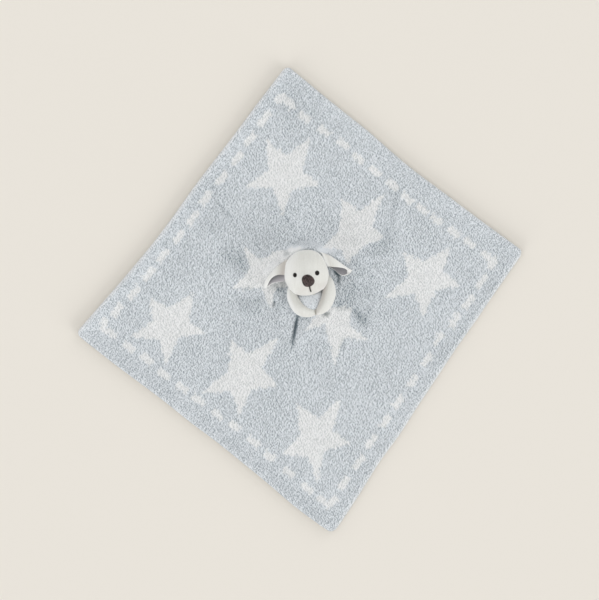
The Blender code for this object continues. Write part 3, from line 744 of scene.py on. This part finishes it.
def chenilleMaterial():
    look = chenilleLook
    material, tree, shader = newMaterial("chenilleKnit", look["finish"])
    white, tint, paintedShade = (addNode(tree, "Attribute", {}, "Fac", attribute_name=name)
                           for name in ("yarnWhiteAndPaintedLight", "tuftTint", "paintedShade"))
    curls, beside = (grain(tree, look["curl"], look["curlDetail"], look["curlStretch"],
                           look["curlBend"], (step, 0, 0)) for step in (0, look["beside"]))
    worn = grain(tree, look["wear"], 2.0)
    for pattern, share in ((beside, look["besideShare"]), (worn, look["wearShare"])):
        curls = addNode(tree, "Math", {0: pattern, 1: share, 2: curls}, operation="MULTIPLY_ADD")
    pits = addNode(tree, "MapRange", {"Value": curls, "From Min": look["pits"][0],
                                      "From Max": look["pits"][1], "To Min": 1.0, "To Max": 0.0})
    deep = addNode(tree, "Math", {0: pits, 1: look["pitShade"], 2: paintedShade},
                   operation="MULTIPLY_ADD")
    shaded = addNode(tree, "MapRange", {"Value": deep, "From Max": look["fullShade"]})
    yarns = [[linear(tone) for tone in look[yarn]] for yarn in ("blue", "white")]
    blue, cream = (addNode(tree, "Mix", {0: tint, 6: yarn[0], 7: yarn[1]}, 2, data_type="RGBA")
                   for yarn in yarns)
    tips = addNode(tree, "Mix", {0: white, 6: blue, 7: cream}, 2, data_type="RGBA")
    shade = addNode(tree, "Mix", {0: white, 6: yarns[0][2], 7: yarns[1][2]}, 2, data_type="RGBA")
    colour = addNode(tree, "Mix", {0: shaded, 6: tips, 7: shade}, 2, data_type="RGBA")
    return dress(material, tree, shader, colour, curls, look["depth"], look["strength"])


# Head

headLook = {
    "outline": ((305, 250.0), (295.7, 252.4), (287.3, 260.5), (284.9, 270), (285.0, 280),
                (289.4, 288.7), (297, 294.6), (308, 295.5), (318, 292.2), (325.8, 286),
                (328.8, 275), (326.8, 265.7), (322.0, 256.2), (314, 250.7)),
    "middle": (307, 272.3),
    "widest": 25.2 * mm,            # height of the widest line
    "front": 20.6 * mm, "back": 20 * mm,
    "rest": 5.3 * mm,
    "fullness": 2.25,               # 2 is round, more is boxier
    "round": 224, "rings": 90,
    "gap": 0.004,                   # radians left open at the middle of a panel and at the seam
    "wall": 1.2 * mm,
    "pile": (0.45, -0.05, -0.30),   # painted light, or below 0 painted shade, where the cloth faces left, right and in front
    "seam": 2.5 * mm,               # the seam lies this far under the widest line
    "seamGroove": 0.5 * mm, "seamWidth": 1.6 * mm,
    "muzzle": (308.4, 282.5), "muzzleRise": 3.0 * mm, "muzzleRadius": 17 * mm,
    "browLine": ((316.6, 248), (316.9, 267.5)), "browDepth": 0.16 * mm, "browWidth": 0.9 * mm,
    "browFade": 4,                  # the line fades over its last quarter
    "eyes": {"leftEye": (295.0, 275.0), "rightEye": (317.2, 273.0)},
    "socketDepth": 0.55 * mm, "socketRadius": 4.2 * mm,
    "reliefFade": 1.6,              # how soon the swell and hollows start above the widest line
    # the filling: how far it lies inside the cloth, and its lumps
    "filling": {"round": 96, "rings": 60, "gap": 0.01, "inside": 0.5 * mm, "seed": 5,
                "lump": 0.35 * mm, "lumpSize": 6 * mm, "waves": 6},
}
faceTop = headLook["widest"] + headLook["front"]


def headRelief(plan):
    # swell and hollows of the face, upward
    look = headLook
    away = np.linalg.norm(plan - spot(*look["muzzle"], faceTop), axis=-1)
    rise = look["muzzleRise"] * bump(away / look["muzzleRadius"])
    for middle in look["eyes"].values():
        away = np.linalg.norm(plan - spot(*middle, faceTop), axis=-1)
        rise = rise - look["socketDepth"] * bump(away / look["socketRadius"])
    start, end = (spot(*point, faceTop) for point in look["browLine"])
    share, off = fromSegment(plan, start, end)
    return rise - (look["browDepth"] * bump(off / look["browWidth"])
                   * ease((1 - share) * look["browFade"]))


def headSurface(angle, tilt, inset=0.0):
    # a point of the stuffed head: tilt is 0 at the middle of the face and pi at the back
    look = headLook
    power = 2 / look["fullness"]
    out = np.abs(np.sin(tilt)) ** power
    rise = np.sign(np.cos(tilt)) * np.abs(np.cos(tilt)) ** power
    edge = outlineReach(look["outline"], look["middle"], look["widest"], angle)
    radius = (edge - inset) * out
    middle = spot(*look["middle"], look["widest"])
    plan = middle + radius[..., None] * np.stack([np.cos(angle), np.sin(angle)], axis=-1)
    depth = np.where(rise > 0, look["front"], look["back"]) - inset
    z = (look["widest"] + depth * rise
         + headRelief(plan) * np.clip(rise * look["reliefFade"], 0, 1))
    z = np.maximum(z, look["rest"] + inset)
    return np.concatenate([plan, z[..., None]], axis=-1)


def seamShape(points):
    # pulls the seam between the face and the back panel in
    look = headLook
    level = look["widest"] - look["seam"]
    pull = look["seamGroove"] * bump((points[..., 2] - level) / look["seamWidth"])
    away = points[..., :2] - spot(*look["middle"], look["widest"])
    length = np.linalg.norm(away, axis=-1, keepdims=True)
    points = points.copy()
    points[..., :2] -= away / np.maximum(length, mm) * pull[..., None]
    return points


def headTilt(under):
    # the tilt at which the surface is that far under the widest line
    look = headLook
    return math.pi / 2 + math.asin((under / look["back"]) ** (look["fullness"] / 2))


def shellPoints(tilts):
    # a closed fabric shell: its outer face, then its inner face, joined at the seam
    tilt, angle = np.meshgrid(tilts, fullTurn(headLook["round"]), indexing="ij")
    outer = seamShape(headSurface(angle, tilt))
    return np.concatenate([outer, headSurface(angle, tilt, headLook["wall"])[::-1]])


def lumpy(points):
    # a smooth random swell, inward only, for loose filling
    loose = headLook["filling"]
    rng = np.random.default_rng(loose["seed"])
    waves = rng.normal(0, 1 / loose["lumpSize"], (loose["waves"], 3))
    phases = rng.uniform(0, 2 * math.pi, loose["waves"])
    swell = sum(np.sin(points @ wave + phase) for wave, phase in zip(waves, phases))
    away = points - points.reshape(-1, 3).mean(0)
    away = away / np.linalg.norm(away, axis=-1, keepdims=True)
    return -away * (loose["lump"] * (1 + swell / loose["waves"]))[..., None]


def makeHead(velour, filling):
    look, loose = headLook, headLook["filling"]
    gap, seamTilt = look["gap"], headTilt(look["seam"])
    face = np.linspace(gap, seamTilt - gap, look["rings"])
    back = np.linspace(math.pi - gap, seamTilt + gap, look["rings"] // 2)
    pieces = []
    for name, tilts in (("headFace", face), ("headBack", back)):
        faces = tubeFaces(2 * len(tilts), look["round"])
        mesh = makeMesh(name, shellPoints(tilts).reshape(-1, 3),
                        turned(faces) if name == "headBack" else faces)
        addPaintedLightAndShade(mesh, *look["pile"])
        pieces.append(addPiece(name, mesh, velour))
    tilts = np.linspace(loose["gap"], math.pi - loose["gap"], loose["rings"])
    tilt, angle = np.meshgrid(tilts, fullTurn(loose["round"]), indexing="ij")
    points = headSurface(angle, tilt, look["wall"] + loose["inside"])
    points = (points + lumpy(points)).reshape(-1, 3)
    mesh = makeMesh("headFilling", points, tubeFaces(loose["rings"], loose["round"]))
    pieces.append(addPiece("headFilling", mesh, filling))
    print("head:", sum(len(piece.data.polygons) for piece in pieces), "faces")
    return pieces


# polyester velour, knitted and sheared: a short even pile, matt, with a soft bloom where it
# turns away and faint lines along the nap; its fibres are drawn as a 0.7 mm grain
velourLook = {
    "finish": {"Roughness": 0.9, "Sheen Weight": 0.9, "Sheen Roughness": 0.35,
               "Specular IOR Level": 0.2},
    # size, detail and stretch of each pattern
    "pile": (0.7 * mm, 3.0, (1, 0.45, 1)),
    "nap": (1.6 * mm, 1.0, (1, 0.08, 0.3)),
    "cloud": (14 * mm, 2.0),
    "cloudRange": (0.3, 0.7),
    "depth": 0.22 * mm, "strength": 0.55,
    # how far cloth has turned when its painted light and shade start, and how much further until
    # full
    "turnAside": (0.1, 0.6), "turnForward": (0.05, 0.5),
    # two tones of the ground, the gaps in the nap and in the pile, and the painted light and painted
    # shade tones
    "cream": ("#EAEAE6", "#EDEDE9", "#F1F1EF", "#EAEAE8", "#F2F2F1", "#B5AEA8"),
    "grey": ("#8E8D90", "#98979A", "#EEEEEE", "#DDDDDD", "#B8B5B9", "#6E6D70"),
}


def addPaintedLightAndShade(mesh, left, right, front):
    # painted light and shade by the way the cloth faces: how much paler, or below 0 darker, it is
    # painted where it faces left, right and towards the feet
    x, y = vertexValues(mesh, "normal")[:, :2].T
    aside, asideReach = velourLook["turnAside"]
    forward, forwardReach = velourLook["turnForward"]
    addAttribute(mesh, "paintedLightAndShade", left * ease((-x - aside) / asideReach)
                 + right * ease((x - aside) / asideReach)
                 + front * ease((-y - forward) / forwardReach))


def velourMaterial(name, tones):
    look = velourLook
    darker, paler, napGap, pileGap, pale, pressed = (linear(tone) for tone in look[tones])
    material, tree, shader = newMaterial(name, look["finish"])
    pile, nap, cloud = (grain(tree, *look[key]) for key in ("pile", "nap", "cloud"))
    low, high = look["cloudRange"]
    clouded = addNode(tree, "MapRange", {"Value": cloud, "From Min": low, "From Max": high})
    colour = addNode(tree, "Mix", {0: clouded, 6: darker, 7: paler}, 2, data_type="RGBA")
    for pattern, gap in ((nap, napGap), (pile, pileGap)):
        lines = addNode(tree, "Mix", {0: pattern, 6: gap, 7: (1, 1, 1, 1)}, 2, data_type="RGBA")
        colour = addNode(tree, "Mix", {0: 1.0, 6: colour, 7: lines}, 2, data_type="RGBA",
                         blend_type="MULTIPLY")
    # painted light makes the cloth paler where the attribute is above 0, painted shade darker below
    # 0
    lean = addNode(tree, "Attribute", {}, "Fac", attribute_name="paintedLightAndShade")
    for most, tone in ((1, pale), (-1, pressed)):
        share = addNode(tree, "MapRange", {"Value": lean, "From Max": most})
        colour = addNode(tree, "Mix", {0: share, 6: colour, 7: tone}, 2, data_type="RGBA")
    return dress(material, tree, shader, colour, pile, look["depth"], look["strength"])


# Embroidery on the face

noseLook = {
    "outline": ((303.9, 275.7), (307.3, 274.6), (310.8, 275.6), (313.7, 278.3), (314.8, 281.5),
                (313.8, 284.4), (311.2, 286.6), (308.0, 287.3), (305.0, 286.7), (303.0, 284.5),
                (302.1, 282.0), (301.7, 279.4), (302.3, 277.3)),
    "middle": (308.2, 280.9), "rise": 1.5 * mm, "thread": 0.62 * mm, "ridge": 0.16 * mm,
    "turn": math.radians(78),
}
eyeLook = {
    "leftEye": {"middle": (295.0, 275.0), "half": (2.0, 2.25), "turn": math.radians(96)},
    "rightEye": {"middle": (317.1, 273.0), "half": (2.3, 2.4), "turn": math.radians(88)},
    "rise": 0.95 * mm, "thread": 0.5 * mm, "ridge": 0.10 * mm,
}
satinLook = {
    "rings": 46, "around": 144,
    "fullness": 3.2,                # of the pad's dome
    "ridgeRound": 0.7,              # less makes the threads rounder
    "tuck": 0.25 * mm,              # how far the edge is pulled in to the cloth
    "depth": 0.9 * mm,              # of the pad's middle under the cloth
    "above": 20 * mm,               # how far over the face the search for its cloth starts
}
mouthLook = {"run": ((309.6, 286.4), (309.8, 288.0), (310.3, 289.7), (310.9, 291.3)),
             "radius": 0.82 * mm, "twist": 1.5 * mm, "steps": 6,
             "proud": 0.55}         # share of the radius that its middle lies over the cloth
plyGroove = 0.16                    # depth of the groove between the plies, as a share


def faceTree(face):
    return BVHTree.FromPolygons([v.co for v in face.data.vertices],
                                [tuple(p.vertices) for p in face.data.polygons])


def onFace(tree, px, py):
    # the point of the face that the camera sees at a pixel, and the face's direction there
    start = Vector((*spot(px, py, faceTop), faceTop + satinLook["above"]))
    return tree.ray_cast(start, Vector((0, 0, -1)))[:2]


def satinPad(name, tree, pad, radii, material):
    # a pad of satin stitch: a dome whose surface has one ridge for each thread
    look, rings, around = satinLook, satinLook["rings"], satinLook["around"]
    place, normal = onFace(tree, *pad["middle"])
    side = Vector((0, 1, 0)).cross(normal).normalized()
    up = normal.cross(side)
    points = []
    for ring in range(rings):
        share = (ring + 1) / rings
        dome = (1 - share ** look["fullness"]) ** 0.5
        for radius, angle in zip(radii, fullTurn(around)):
            x, y = radius * share * math.cos(angle), radius * share * math.sin(angle)
            flat = place + side * x + up * y
            hit = tree.ray_cast(flat + normal * look["above"], -normal)[0] or flat
            across = -x * math.sin(pad["turn"]) + y * math.cos(pad["turn"])
            threads = abs(math.sin(math.pi * across / pad["thread"])) ** look["ridgeRound"]
            lift = pad["rise"] * dome + pad["ridge"] * threads * min(1, dome * 2)
            points.append(hit + normal * (lift - look["tuck"] * (share >= 1)))
    top, under, ring = len(points), len(points) + 1, np.arange(around)
    points += [sum(points[:around], Vector()) / around, place - normal * look["depth"]]
    last = (rings - 1) * around + ring
    faces = [gridFaces(rings, around, closed=True),
             np.stack([ring, np.roll(ring, -1), np.full(around, top)], 1),
             np.stack([np.roll(last, -1), last, np.full(around, under)], 1)]
    return addPiece(name, makeMesh(name, np.array(points), faces), material)


def ropeMesh(name, run, radius, twist, around=16):
    # a twisted thread of two plies along a run of points
    tangents = np.gradient(run, axis=0)
    tangents /= np.linalg.norm(tangents, axis=1, keepdims=True)
    rings = []
    for place, tangent, length in zip(run, tangents, runLengths(run)):
        side = np.cross(tangent, (0, 0, 1))
        if np.linalg.norm(side) < 1e-3:     # where the thread runs straight up
            side = np.cross(tangent, (1, 0, 0))
        side /= np.linalg.norm(side)
        up = np.cross(side, tangent)
        angle = fullTurn(around)[:, None]
        ply = 1 - plyGroove + plyGroove * np.abs(np.cos(angle - math.pi * length / twist))
        rings.append(place + (side * np.cos(angle) + up * np.sin(angle)) * radius * ply)
    return makeMesh(name, np.concatenate(rings), tubeFaces(len(run), around))


def makeFaceDetails(tree, nose, eye):
    angles = fullTurn(satinLook["around"])
    radii = outlineReach(noseLook["outline"], noseLook["middle"], faceTop, angles)
    pieces = [satinPad("noseStitches", tree, noseLook, radii, nose)]
    for name in ("leftEye", "rightEye"):
        pad = {**eyeLook, **eyeLook[name]}
        half = np.array(pad["half"]) * photo["pixel"]
        radii = 1 / np.sqrt((np.cos(angles) / half[0]) ** 2 + (np.sin(angles) / half[1]) ** 2)
        pieces.append(satinPad(name + "Stitches", tree, pad, radii, eye))
    look, run = mouthLook, []
    for px, py in smoothRun(look["run"], look["steps"]):
        place, normal = onFace(tree, px, py)
        run.append(place + normal * look["radius"] * look["proud"])
    rope = ropeMesh("mouthThread", np.array(run), look["radius"], look["twist"])
    pieces.append(addPiece("mouthThread", rope, eye))
    print("face details:", len(pieces), "pieces")
    return pieces


# rayon embroidery thread, slightly glossy, and duller polyester sewing thread: fine ridges with
# darker gaps, drawn as a 1.5 mm grain because single fibres are finer than a pixel
threadLook = {
    "finish": {"Sheen Weight": 0.15, "Sheen Roughness": 0.4, "Specular IOR Level": 0.3},
    "strand": (1.5 * mm, 2.0, (1, 0.5, 1)), "strandRange": (0.34, 0.66),
    "depth": 0.1 * mm, "strength": 0.4,
    # colour of the gaps and of the strands, and how rough it is
    "brownRayonThread": ("#171010", "#524342", 0.55),
    "blackRayonThread": ("#080605", "#1C1411", 0.45),
    "creamPolyesterThread": ("#BDBBB1", "#D8D6CC", 0.6),
}


def threadMaterial(name):
    look = threadLook
    gap, colour, roughness = look[name]
    material, tree, shader = newMaterial(name, {"Roughness": roughness, **look["finish"]})
    strand = grain(tree, *look["strand"])
    low, high = look["strandRange"]
    share = addNode(tree, "MapRange", {"Value": strand, "From Min": low, "From Max": high})
    tone = addNode(tree, "Mix", {0: share, 6: linear(gap), 7: linear(colour)}, 2,
                   data_type="RGBA")
    return dress(material, tree, shader, tone, strand, look["depth"], look["strength"])


# Ears: each is one leaf of velour folded along its length, round a grey lining

earLook = {
    "left": {
        "fold": ((287.4, 259.2), (280.4, 263.9), (275.4, 268.2), (270, 273.8), (265.9, 279.4),
                 (264.4, 284.2), (265.2, 287.6)),
        "top": ((285.2, 275.3), (281, 274.9), (277.5, 275.0), (273.2, 276.9), (270.1, 280.0),
                (268.0, 283.8), (266.4, 286.9)),
        "low": ((285.8, 277.0), (285.4, 279.6), (282.6, 281.7), (277.8, 282.2), (272.8, 283.2),
                (269.3, 285.6), (266.5, 287.7)),
    },
    "right": {
        "fold": ((320.5, 252.2), (328.8, 255.2), (334.8, 258.9), (340.2, 262.5), (346.2, 266.7),
                 (349.8, 269.3), (351.6, 271.4)),
        "top": ((327.2, 266.4), (331, 266.9), (335, 267.2), (339, 267.4), (343.8, 268.2),
                (347.6, 269.6), (350.6, 270.9)),
        "low": ((328.2, 266.9), (332.3, 268.5), (336.1, 271.3), (339.8, 274.5), (344.0, 275.7),
                (348.4, 274.3), (350.9, 272.7)),
    },
    "velour": 1.3 * mm, "lining": 0.7 * mm,
    "gap": 0.2 * mm,                # between velour and lining
    # width of velour left bare along the lining's upper and lower edge, from root to tip
    "rims": {"left": ((0.5, 0.5, 0.5, 0.7, 1.6), (0.3, 0.3, 0.3, 0.5, 1.2)),
             "right": ((0.4, 0.4, 1.0, 2.2, 2.4), (0.2, 0.2, 0.3, 1.1, 2.2))},
    "paintedLightEdge": {"left": 1.0, "right": 0.15},       # painted light: how far the lining is painted paler at its lower edge
    # painted shade and light on the velour at shares from root to tip: below 0 darker, above 0 paler
    "pile": {"left": ((0, 0.08, 0.14, 0.22, 0.33, 0.45, 1),
                      (-0.4, -0.75, -0.7, -0.45, 0.0, 0.4, 0.5)),
             "right": ((0, 0.05, 0.15, 0.45, 0.8, 1), (0.8, 0.4, -0.2, 0.2, 0.5, 0.5))},
    "lined": {"left": (0.04, 0.93), "right": (0.04, 0.84)},     # shares that the lining covers
    "paintedLightFrom": 0.76,               # share across the lining from which the painted light starts
    "foldRadius": 2.5 * mm, "tipThin": 0.35,
    "leastReach": 0.5 * mm, "leastFlap": 0.2 * mm,      # keep the tip from closing up
    "rootLevel": 19.5 * mm, "tipLevel": 8.3 * mm, "drop": 1.1,
    "bulge": 0.9 * mm,
    "bulgeWidth": 6 * mm,           # a flap that is narrower bulges less
    "rings": 44, "flap": 16, "arc": 12,
    # the hinge line of each root in plan, the way out from it, and how far in and out it bends
    "hinge": {"left": ((-22.7, 42.8), (-0.974, 0.227)), "right": ((35.6, 51.7), (0.868, 0.497))},
    "bend": (5.0 * mm, 3.5 * mm),
}


def earSheet(side, inward, first, last):
    # grid of the middle of one fabric: top flap, fold and low flap, from root to tip
    look = earLook
    shares = np.linspace(first, last, look["rings"])
    height = (look["rootLevel"] + look["tipLevel"]) / 2
    runs = [atShares(smoothRun([spot(*point, height) for point in look[side][key]]), shares)
            for key in ("fold", "top", "low")]
    rows = []
    for s, fold, top, low in zip(shares, *runs):
        bend = look["foldRadius"] * (1 - look["tipThin"] * s ** 3)
        rims = [np.interp(s, np.linspace(0, 1, len(widths)), widths) * mm if inward else 0.0
                for widths in look["rims"][side]]
        radius = bend - inward
        away = fold - (top + low) / 2
        reach = max(np.linalg.norm(away), look["leastReach"])
        away = away / reach
        heart = fold - away * min(bend + look["velour"] / 2, reach / 2)
        level = look["rootLevel"] + (look["tipLevel"] - look["rootLevel"]) * s ** look["drop"]
        flaps = []
        for edge, sign, rim in ((top, 1, rims[0]), (low, -1, rims[1])):
            flap = heart - edge
            length = max(np.linalg.norm(flap), look["leastFlap"])
            edge = edge + flap / length * min(rim, length / 2)
            part = []
            for t in np.linspace(0, 1, look["flap"] + 1):
                puff = look["bulge"] * 4 * t * (1 - t) * min(1, length / look["bulgeWidth"])
                part.append((*(edge * (1 - t) + heart * t), level + sign * (radius + puff)))
            flaps.append(part[:-1])
        arc = [(*(heart + away * (radius * math.cos(turn))), level + radius * math.sin(turn))
               for turn in np.linspace(math.pi / 2, -math.pi / 2, look["arc"] + 1)]
        rows.append(flaps[0] + arc + flaps[1][::-1])
    return np.array(rows)


def makeEar(side, velour, lining):
    look = earLook
    inward = look["velour"] / 2 + look["gap"] + look["lining"] / 2
    outer = earSheet(side, 0, 0.0, 1.0)
    inner = earSheet(side, inward, *look["lined"][side])
    along, across = (np.linspace(0, 1, count) for count in outer.shape[:2])
    # painted shade and light along the velour, and painted light towards the lining's lower edge
    paintedAlongVelour = np.repeat(np.interp(along, *look["pile"][side]), len(across))
    paintedAcrossLining = np.tile(look["paintedLightEdge"][side]
                    * ease((across - look["paintedLightFrom"]) / (1 - look["paintedLightFrom"])), len(along))
    pieces = []
    for name, sheet, pale, wall, material in (("Velour", outer, paintedAlongVelour, look["velour"], velour),
                                              ("Lining", inner, paintedAcrossLining, look["lining"], lining)):
        name = side + "Ear" + name
        mesh = makeMesh(name, sheet.reshape(-1, 3), [gridFaces(*sheet.shape[:2])])
        addAttribute(mesh, "paintedLightAndShade", pale)
        piece = addPiece(name, mesh, material)
        thick = piece.modifiers.new("thickness", "SOLIDIFY")
        thick.thickness = wall
        thick.offset = 0
        finer = piece.modifiers.new("rounding", "SUBSURF")
        finer.levels = finer.render_levels = 1
        settle(piece)
        pieces.append(piece)
    print(side, "ear:", sum(len(piece.data.polygons) for piece in pieces), "faces")
    return pieces


# Arms: stuffed velour tubes whose paws are sewn together on the chest

armLook = {
    # pixel and radius in millimetres, from the shoulder to the paw
    "left": ((294.6, 282.5, 3.6), (292.0, 288.5, 5.1), (292.1, 296.0, 6.5), (295.2, 303.4, 7.4),
             (299.6, 308.8, 7.6), (304.6, 311.5, 7.0), (309.6, 312.5, 5.8), (313.2, 312.0, 4.8)),
    "right": ((326.0, 276.5, 4.6), (328.5, 283.5, 7.0), (329.2, 292.0, 8.4),
              (327.7, 298.9, 8.4), (324.7, 305.1, 7.9), (321.1, 309.2, 6.3),
              (317.8, 311.5, 4.6)),
    "seam": (315.45, 311.7), "seamHeight": 9.9 * mm, "rest": 5.35 * mm,
    "wall": 1.2 * mm, "around": 56, "steps": 9, "flat": {"left": 0.87, "right": 0.93},
    # painted light, or below 0 painted shade, where the cloth faces left, right and in front
    "pile": {"left": (0.60, -0.05, -0.18), "right": (-0.5, 0.05, -0.15)},
    # turns of the rings that round off the shoulder and the paw, in degrees
    "shoulderTurns": (85, 70, 52, 32, 14), "pawTurns": (14, 28, 42, 55, 67, 77, 85),
    "pawRound": 0.62,               # less makes the paw blunter
    "pawGap": 0.15 * mm,            # between a paw and the seam
    "thinnest": 0.1 * mm,
    "fillingGap": 0.4 * mm,         # between cover and filling
}
pawSeam = np.array([*spot(*armLook["seam"], armLook["seamHeight"]), armLook["seamHeight"]])


def armRings(side, inset):
    # rings of the tube from the shoulder's round to the paw's
    look, flat = armLook, armLook["flat"][side]
    knots = []
    for px, py, radius in look[side]:
        height = look["rest"] + radius * flat * mm
        knots.append((*spot(px, py, height), height, radius * mm))
    run = smoothRun(knots, look["steps"])
    start, end = run[0, :3], run[-1, :3]
    toSeam = (pawSeam - end) * (1, 1, 0)
    reach = np.linalg.norm(toSeam)
    toSeam /= reach
    back = (start - run[1, :3]) * (1, 1, 0)
    back /= np.linalg.norm(back)
    shoulder = [(*(start + back * run[0, 3] * math.sin(turn)), run[0, 3] * math.cos(turn))
                for turn in np.radians(look["shoulderTurns"])]
    paw = [(*(end + toSeam * ((reach - look["pawGap"]) * math.sin(turn))),
            run[-1, 3] * math.cos(turn) ** look["pawRound"])
           for turn in np.radians(look["pawTurns"])]
    run = np.vstack([shoulder, run, paw])
    tangents = np.gradient(run[:, :3], axis=0)
    tangents[:len(shoulder)] = -back
    tangents[-len(paw):] = toSeam
    tangents /= np.linalg.norm(tangents, axis=1, keepdims=True)
    angle = fullTurn(look["around"])[:, None]
    rings = []
    for knot, tangent in zip(run, tangents):
        sideways = np.cross(tangent, (0, 0, 1))
        sideways /= np.linalg.norm(sideways)
        over = np.cross(sideways, tangent)
        radius = max(knot[3] - inset, look["thinnest"])
        rings.append(knot[:3] + radius * (np.cos(angle) * sideways + np.sin(angle) * over * flat))
    rings = np.array(rings)
    rings[..., 2] = np.maximum(rings[..., 2], look["rest"] + inset)
    return rings


def makeArm(side, velour, filling):
    look, around = armLook, armLook["around"]
    outer = armRings(side, 0.0)
    inner = armRings(side, look["wall"])[::-1]
    count, ring = len(outer), np.arange(around)
    quads = gridFaces(2 * count, around, closed=True)
    joining = (quads[:, 0] // around) == count - 1
    # at the open shoulder the outer and the inner face meet; both are closed at the paw
    after, shoulder = np.roll(ring, -1), (2 * count - 1) * around
    faces = turned([quads[~joining],
                    np.stack([shoulder + ring, ring, after, shoulder + after], 1),
                    ((count - 1) * around + ring)[None, :], (count * around + ring)[None, ::-1]])
    mesh = makeMesh(side + "Arm", np.concatenate([outer, inner]).reshape(-1, 3), faces)
    addPaintedLightAndShade(mesh, *look["pile"][side])
    cover = addPiece(side + "ArmVelour", mesh, velour)
    soft = armRings(side, look["wall"] + look["fillingGap"])[:, ::2]
    mesh = makeMesh(side + "ArmFilling", soft.reshape(-1, 3),
                    turned(tubeFaces(count, around // 2)))
    inside = addPiece(side + "ArmFilling", mesh, filling)
    print(side, "arm:", len(cover.data.polygons), "faces")
    return cover, inside


# loose polyester fibre: white, matt, with a wool-like grain
fillingLook = {
    "finish": {"Roughness": 1.0, "Sheen Weight": 0.2},
    "tones": ("#D8D8D6", "#F4F4F2"),
    "wool": (2.5 * mm, 4.0), "depth": 1.2 * mm, "strength": 0.8,
}


def fillingMaterial():
    look = fillingLook
    dark, pale = (linear(tone) for tone in look["tones"])
    material, tree, shader = newMaterial("fibreFilling", look["finish"])
    wool = grain(tree, *look["wool"])
    colour = addNode(tree, "Mix", {0: wool, 6: dark, 7: pale}, 2, data_type="RGBA")
    return dress(material, tree, shader, colour, wool, look["depth"], look["strength"])


# Stitches that hold the toy together: coils of sewing thread, with "coil" as their radius

sewingLook = {"thread": 0.34 * mm, "twist": 0.9 * mm, "around": 8, "steps": 14}
# from one x to the other at a height, with a lean off the line across
neckLook = {"x": (3.0 * mm, 19.0 * mm), "y": 8.2 * mm, "lean": -0.095, "z": 15.6 * mm,
            "coil": 0.9 * mm, "turns": 11}
# round nearly all of a ring, with its coils pressed flat
pawLook = {"radius": 3.5 * mm, "span": 0.93, "pressed": 0.6, "coil": 0.75 * mm, "turns": 9}


def makeStitches(name, look, placeAt, thread):
    # placeAt gives the thread's place from its share of the way and its turn round the coil
    steps = look["turns"] * sewingLook["steps"]
    run = [placeAt(look, k / steps, 2 * math.pi * look["turns"] * (k / steps))
           for k in range(steps + 1)]
    rope = ropeMesh(name, np.array(run), sewingLook["thread"], sewingLook["twist"],
                    sewingLook["around"])
    return addPiece(name, rope, thread)


def neckPlace(look, share, turn):
    # whip stitches that sew the chin to the pouch, along the line that the head turns on
    x = look["x"][0] * (1 - share) + look["x"][1] * share
    return (x, look["y"] + look["lean"] * (x - look["x"][0]) + look["coil"] * math.cos(turn),
            look["z"] + look["coil"] * math.sin(turn))


def pawPlace(look, share, turn):
    # whip stitches round the seam between the paws
    way = 2 * math.pi * share * look["span"]
    reach = look["radius"] + look["coil"] * look["pressed"] * math.cos(turn)
    return pawSeam + (look["coil"] * math.sin(turn), reach * math.cos(way),
                      reach * math.sin(way))


def addFloor():
    # painted board: even, pale and matt, with the faintest roller grain
    dark, pale = (linear(tone) for tone in studio["floor"])
    material, tree, shader = newMaterial("paintedBoard", {"Roughness": 0.95,
                                                          "Specular IOR Level": 0.1})
    roller = grain(tree, studio["rollerGrain"], 1.0)
    colour = addNode(tree, "Mix", {0: roller, 6: dark, 7: pale}, 2, data_type="RGBA")
    tree.links.new(colour, shader.inputs["Base Color"])
    half = studio["floorSize"] / 2
    mesh = makeMesh("floor", [(-half, -half, 0), (half, -half, 0), (half, half, 0),
                              (-half, half, 0)], [np.array([[0, 1, 2, 3]])])
    addPiece("floor", mesh, material)
    print("floor laid")


def standFor(piece, node, body=None):
    # the solid that a piece stands for, which is hidden, and the body that it moves with
    if body:
        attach(piece, body)
    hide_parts(node)


# Assembly

addCamera()
addLights()
addFloor()

cream = velourMaterial("creamVelour", "cream")
grey = velourMaterial("greyVelour", "grey")
filling = fillingMaterial()
noseThread, eyeThread, sewingThread = (threadMaterial(name) for name in (
    "brownRayonThread", "blackRayonThread", "creamPolyesterThread"))

blanket = makeBlanket(chenilleMaterial())
standFor(blanket, "blanket", "blanket")

headFace, headBack, headFilling = makeHead(cream, filling)
standFor(headFace, "head_face", "head")
standFor(headBack, "head_back", "head")
standFor(headFilling, "head_stuffing", "head")

faceDetails = makeFaceDetails(faceTree(headFace), noseThread, eyeThread)
for piece, node, slot in zip(faceDetails, ("nose", "left_eye", "right_eye", "mouth_stitch"),
                             ("nose_thread", "eye_thread", "eye_thread", "eye_thread")):
    standFor(piece, node, "head")

for side in ("left", "right"):
    ear = makeEar(side, cream, grey)
    for piece, node, slot in zip(ear, ("_ear_outer", "_ear_lining"), ("velour", "ear_lining")):
        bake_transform(piece)
        standFor(piece, side + node)
    cover, inside = makeArm(side, cream, filling)
    standFor(cover, side + "_arm_cover", "arms")
    standFor(inside, side + "_arm_stuffing", "arms")

pawStitches = makeStitches("pawStitches", pawLook, pawPlace, sewingThread)
standFor(pawStitches, "paw_stitch", "arms")
neckStitches = makeStitches("neckStitches", neckLook, neckPlace, sewingThread)
standFor(neckStitches, "neck_stitches", "blanket")
print("stitches sewn")

print("finished")
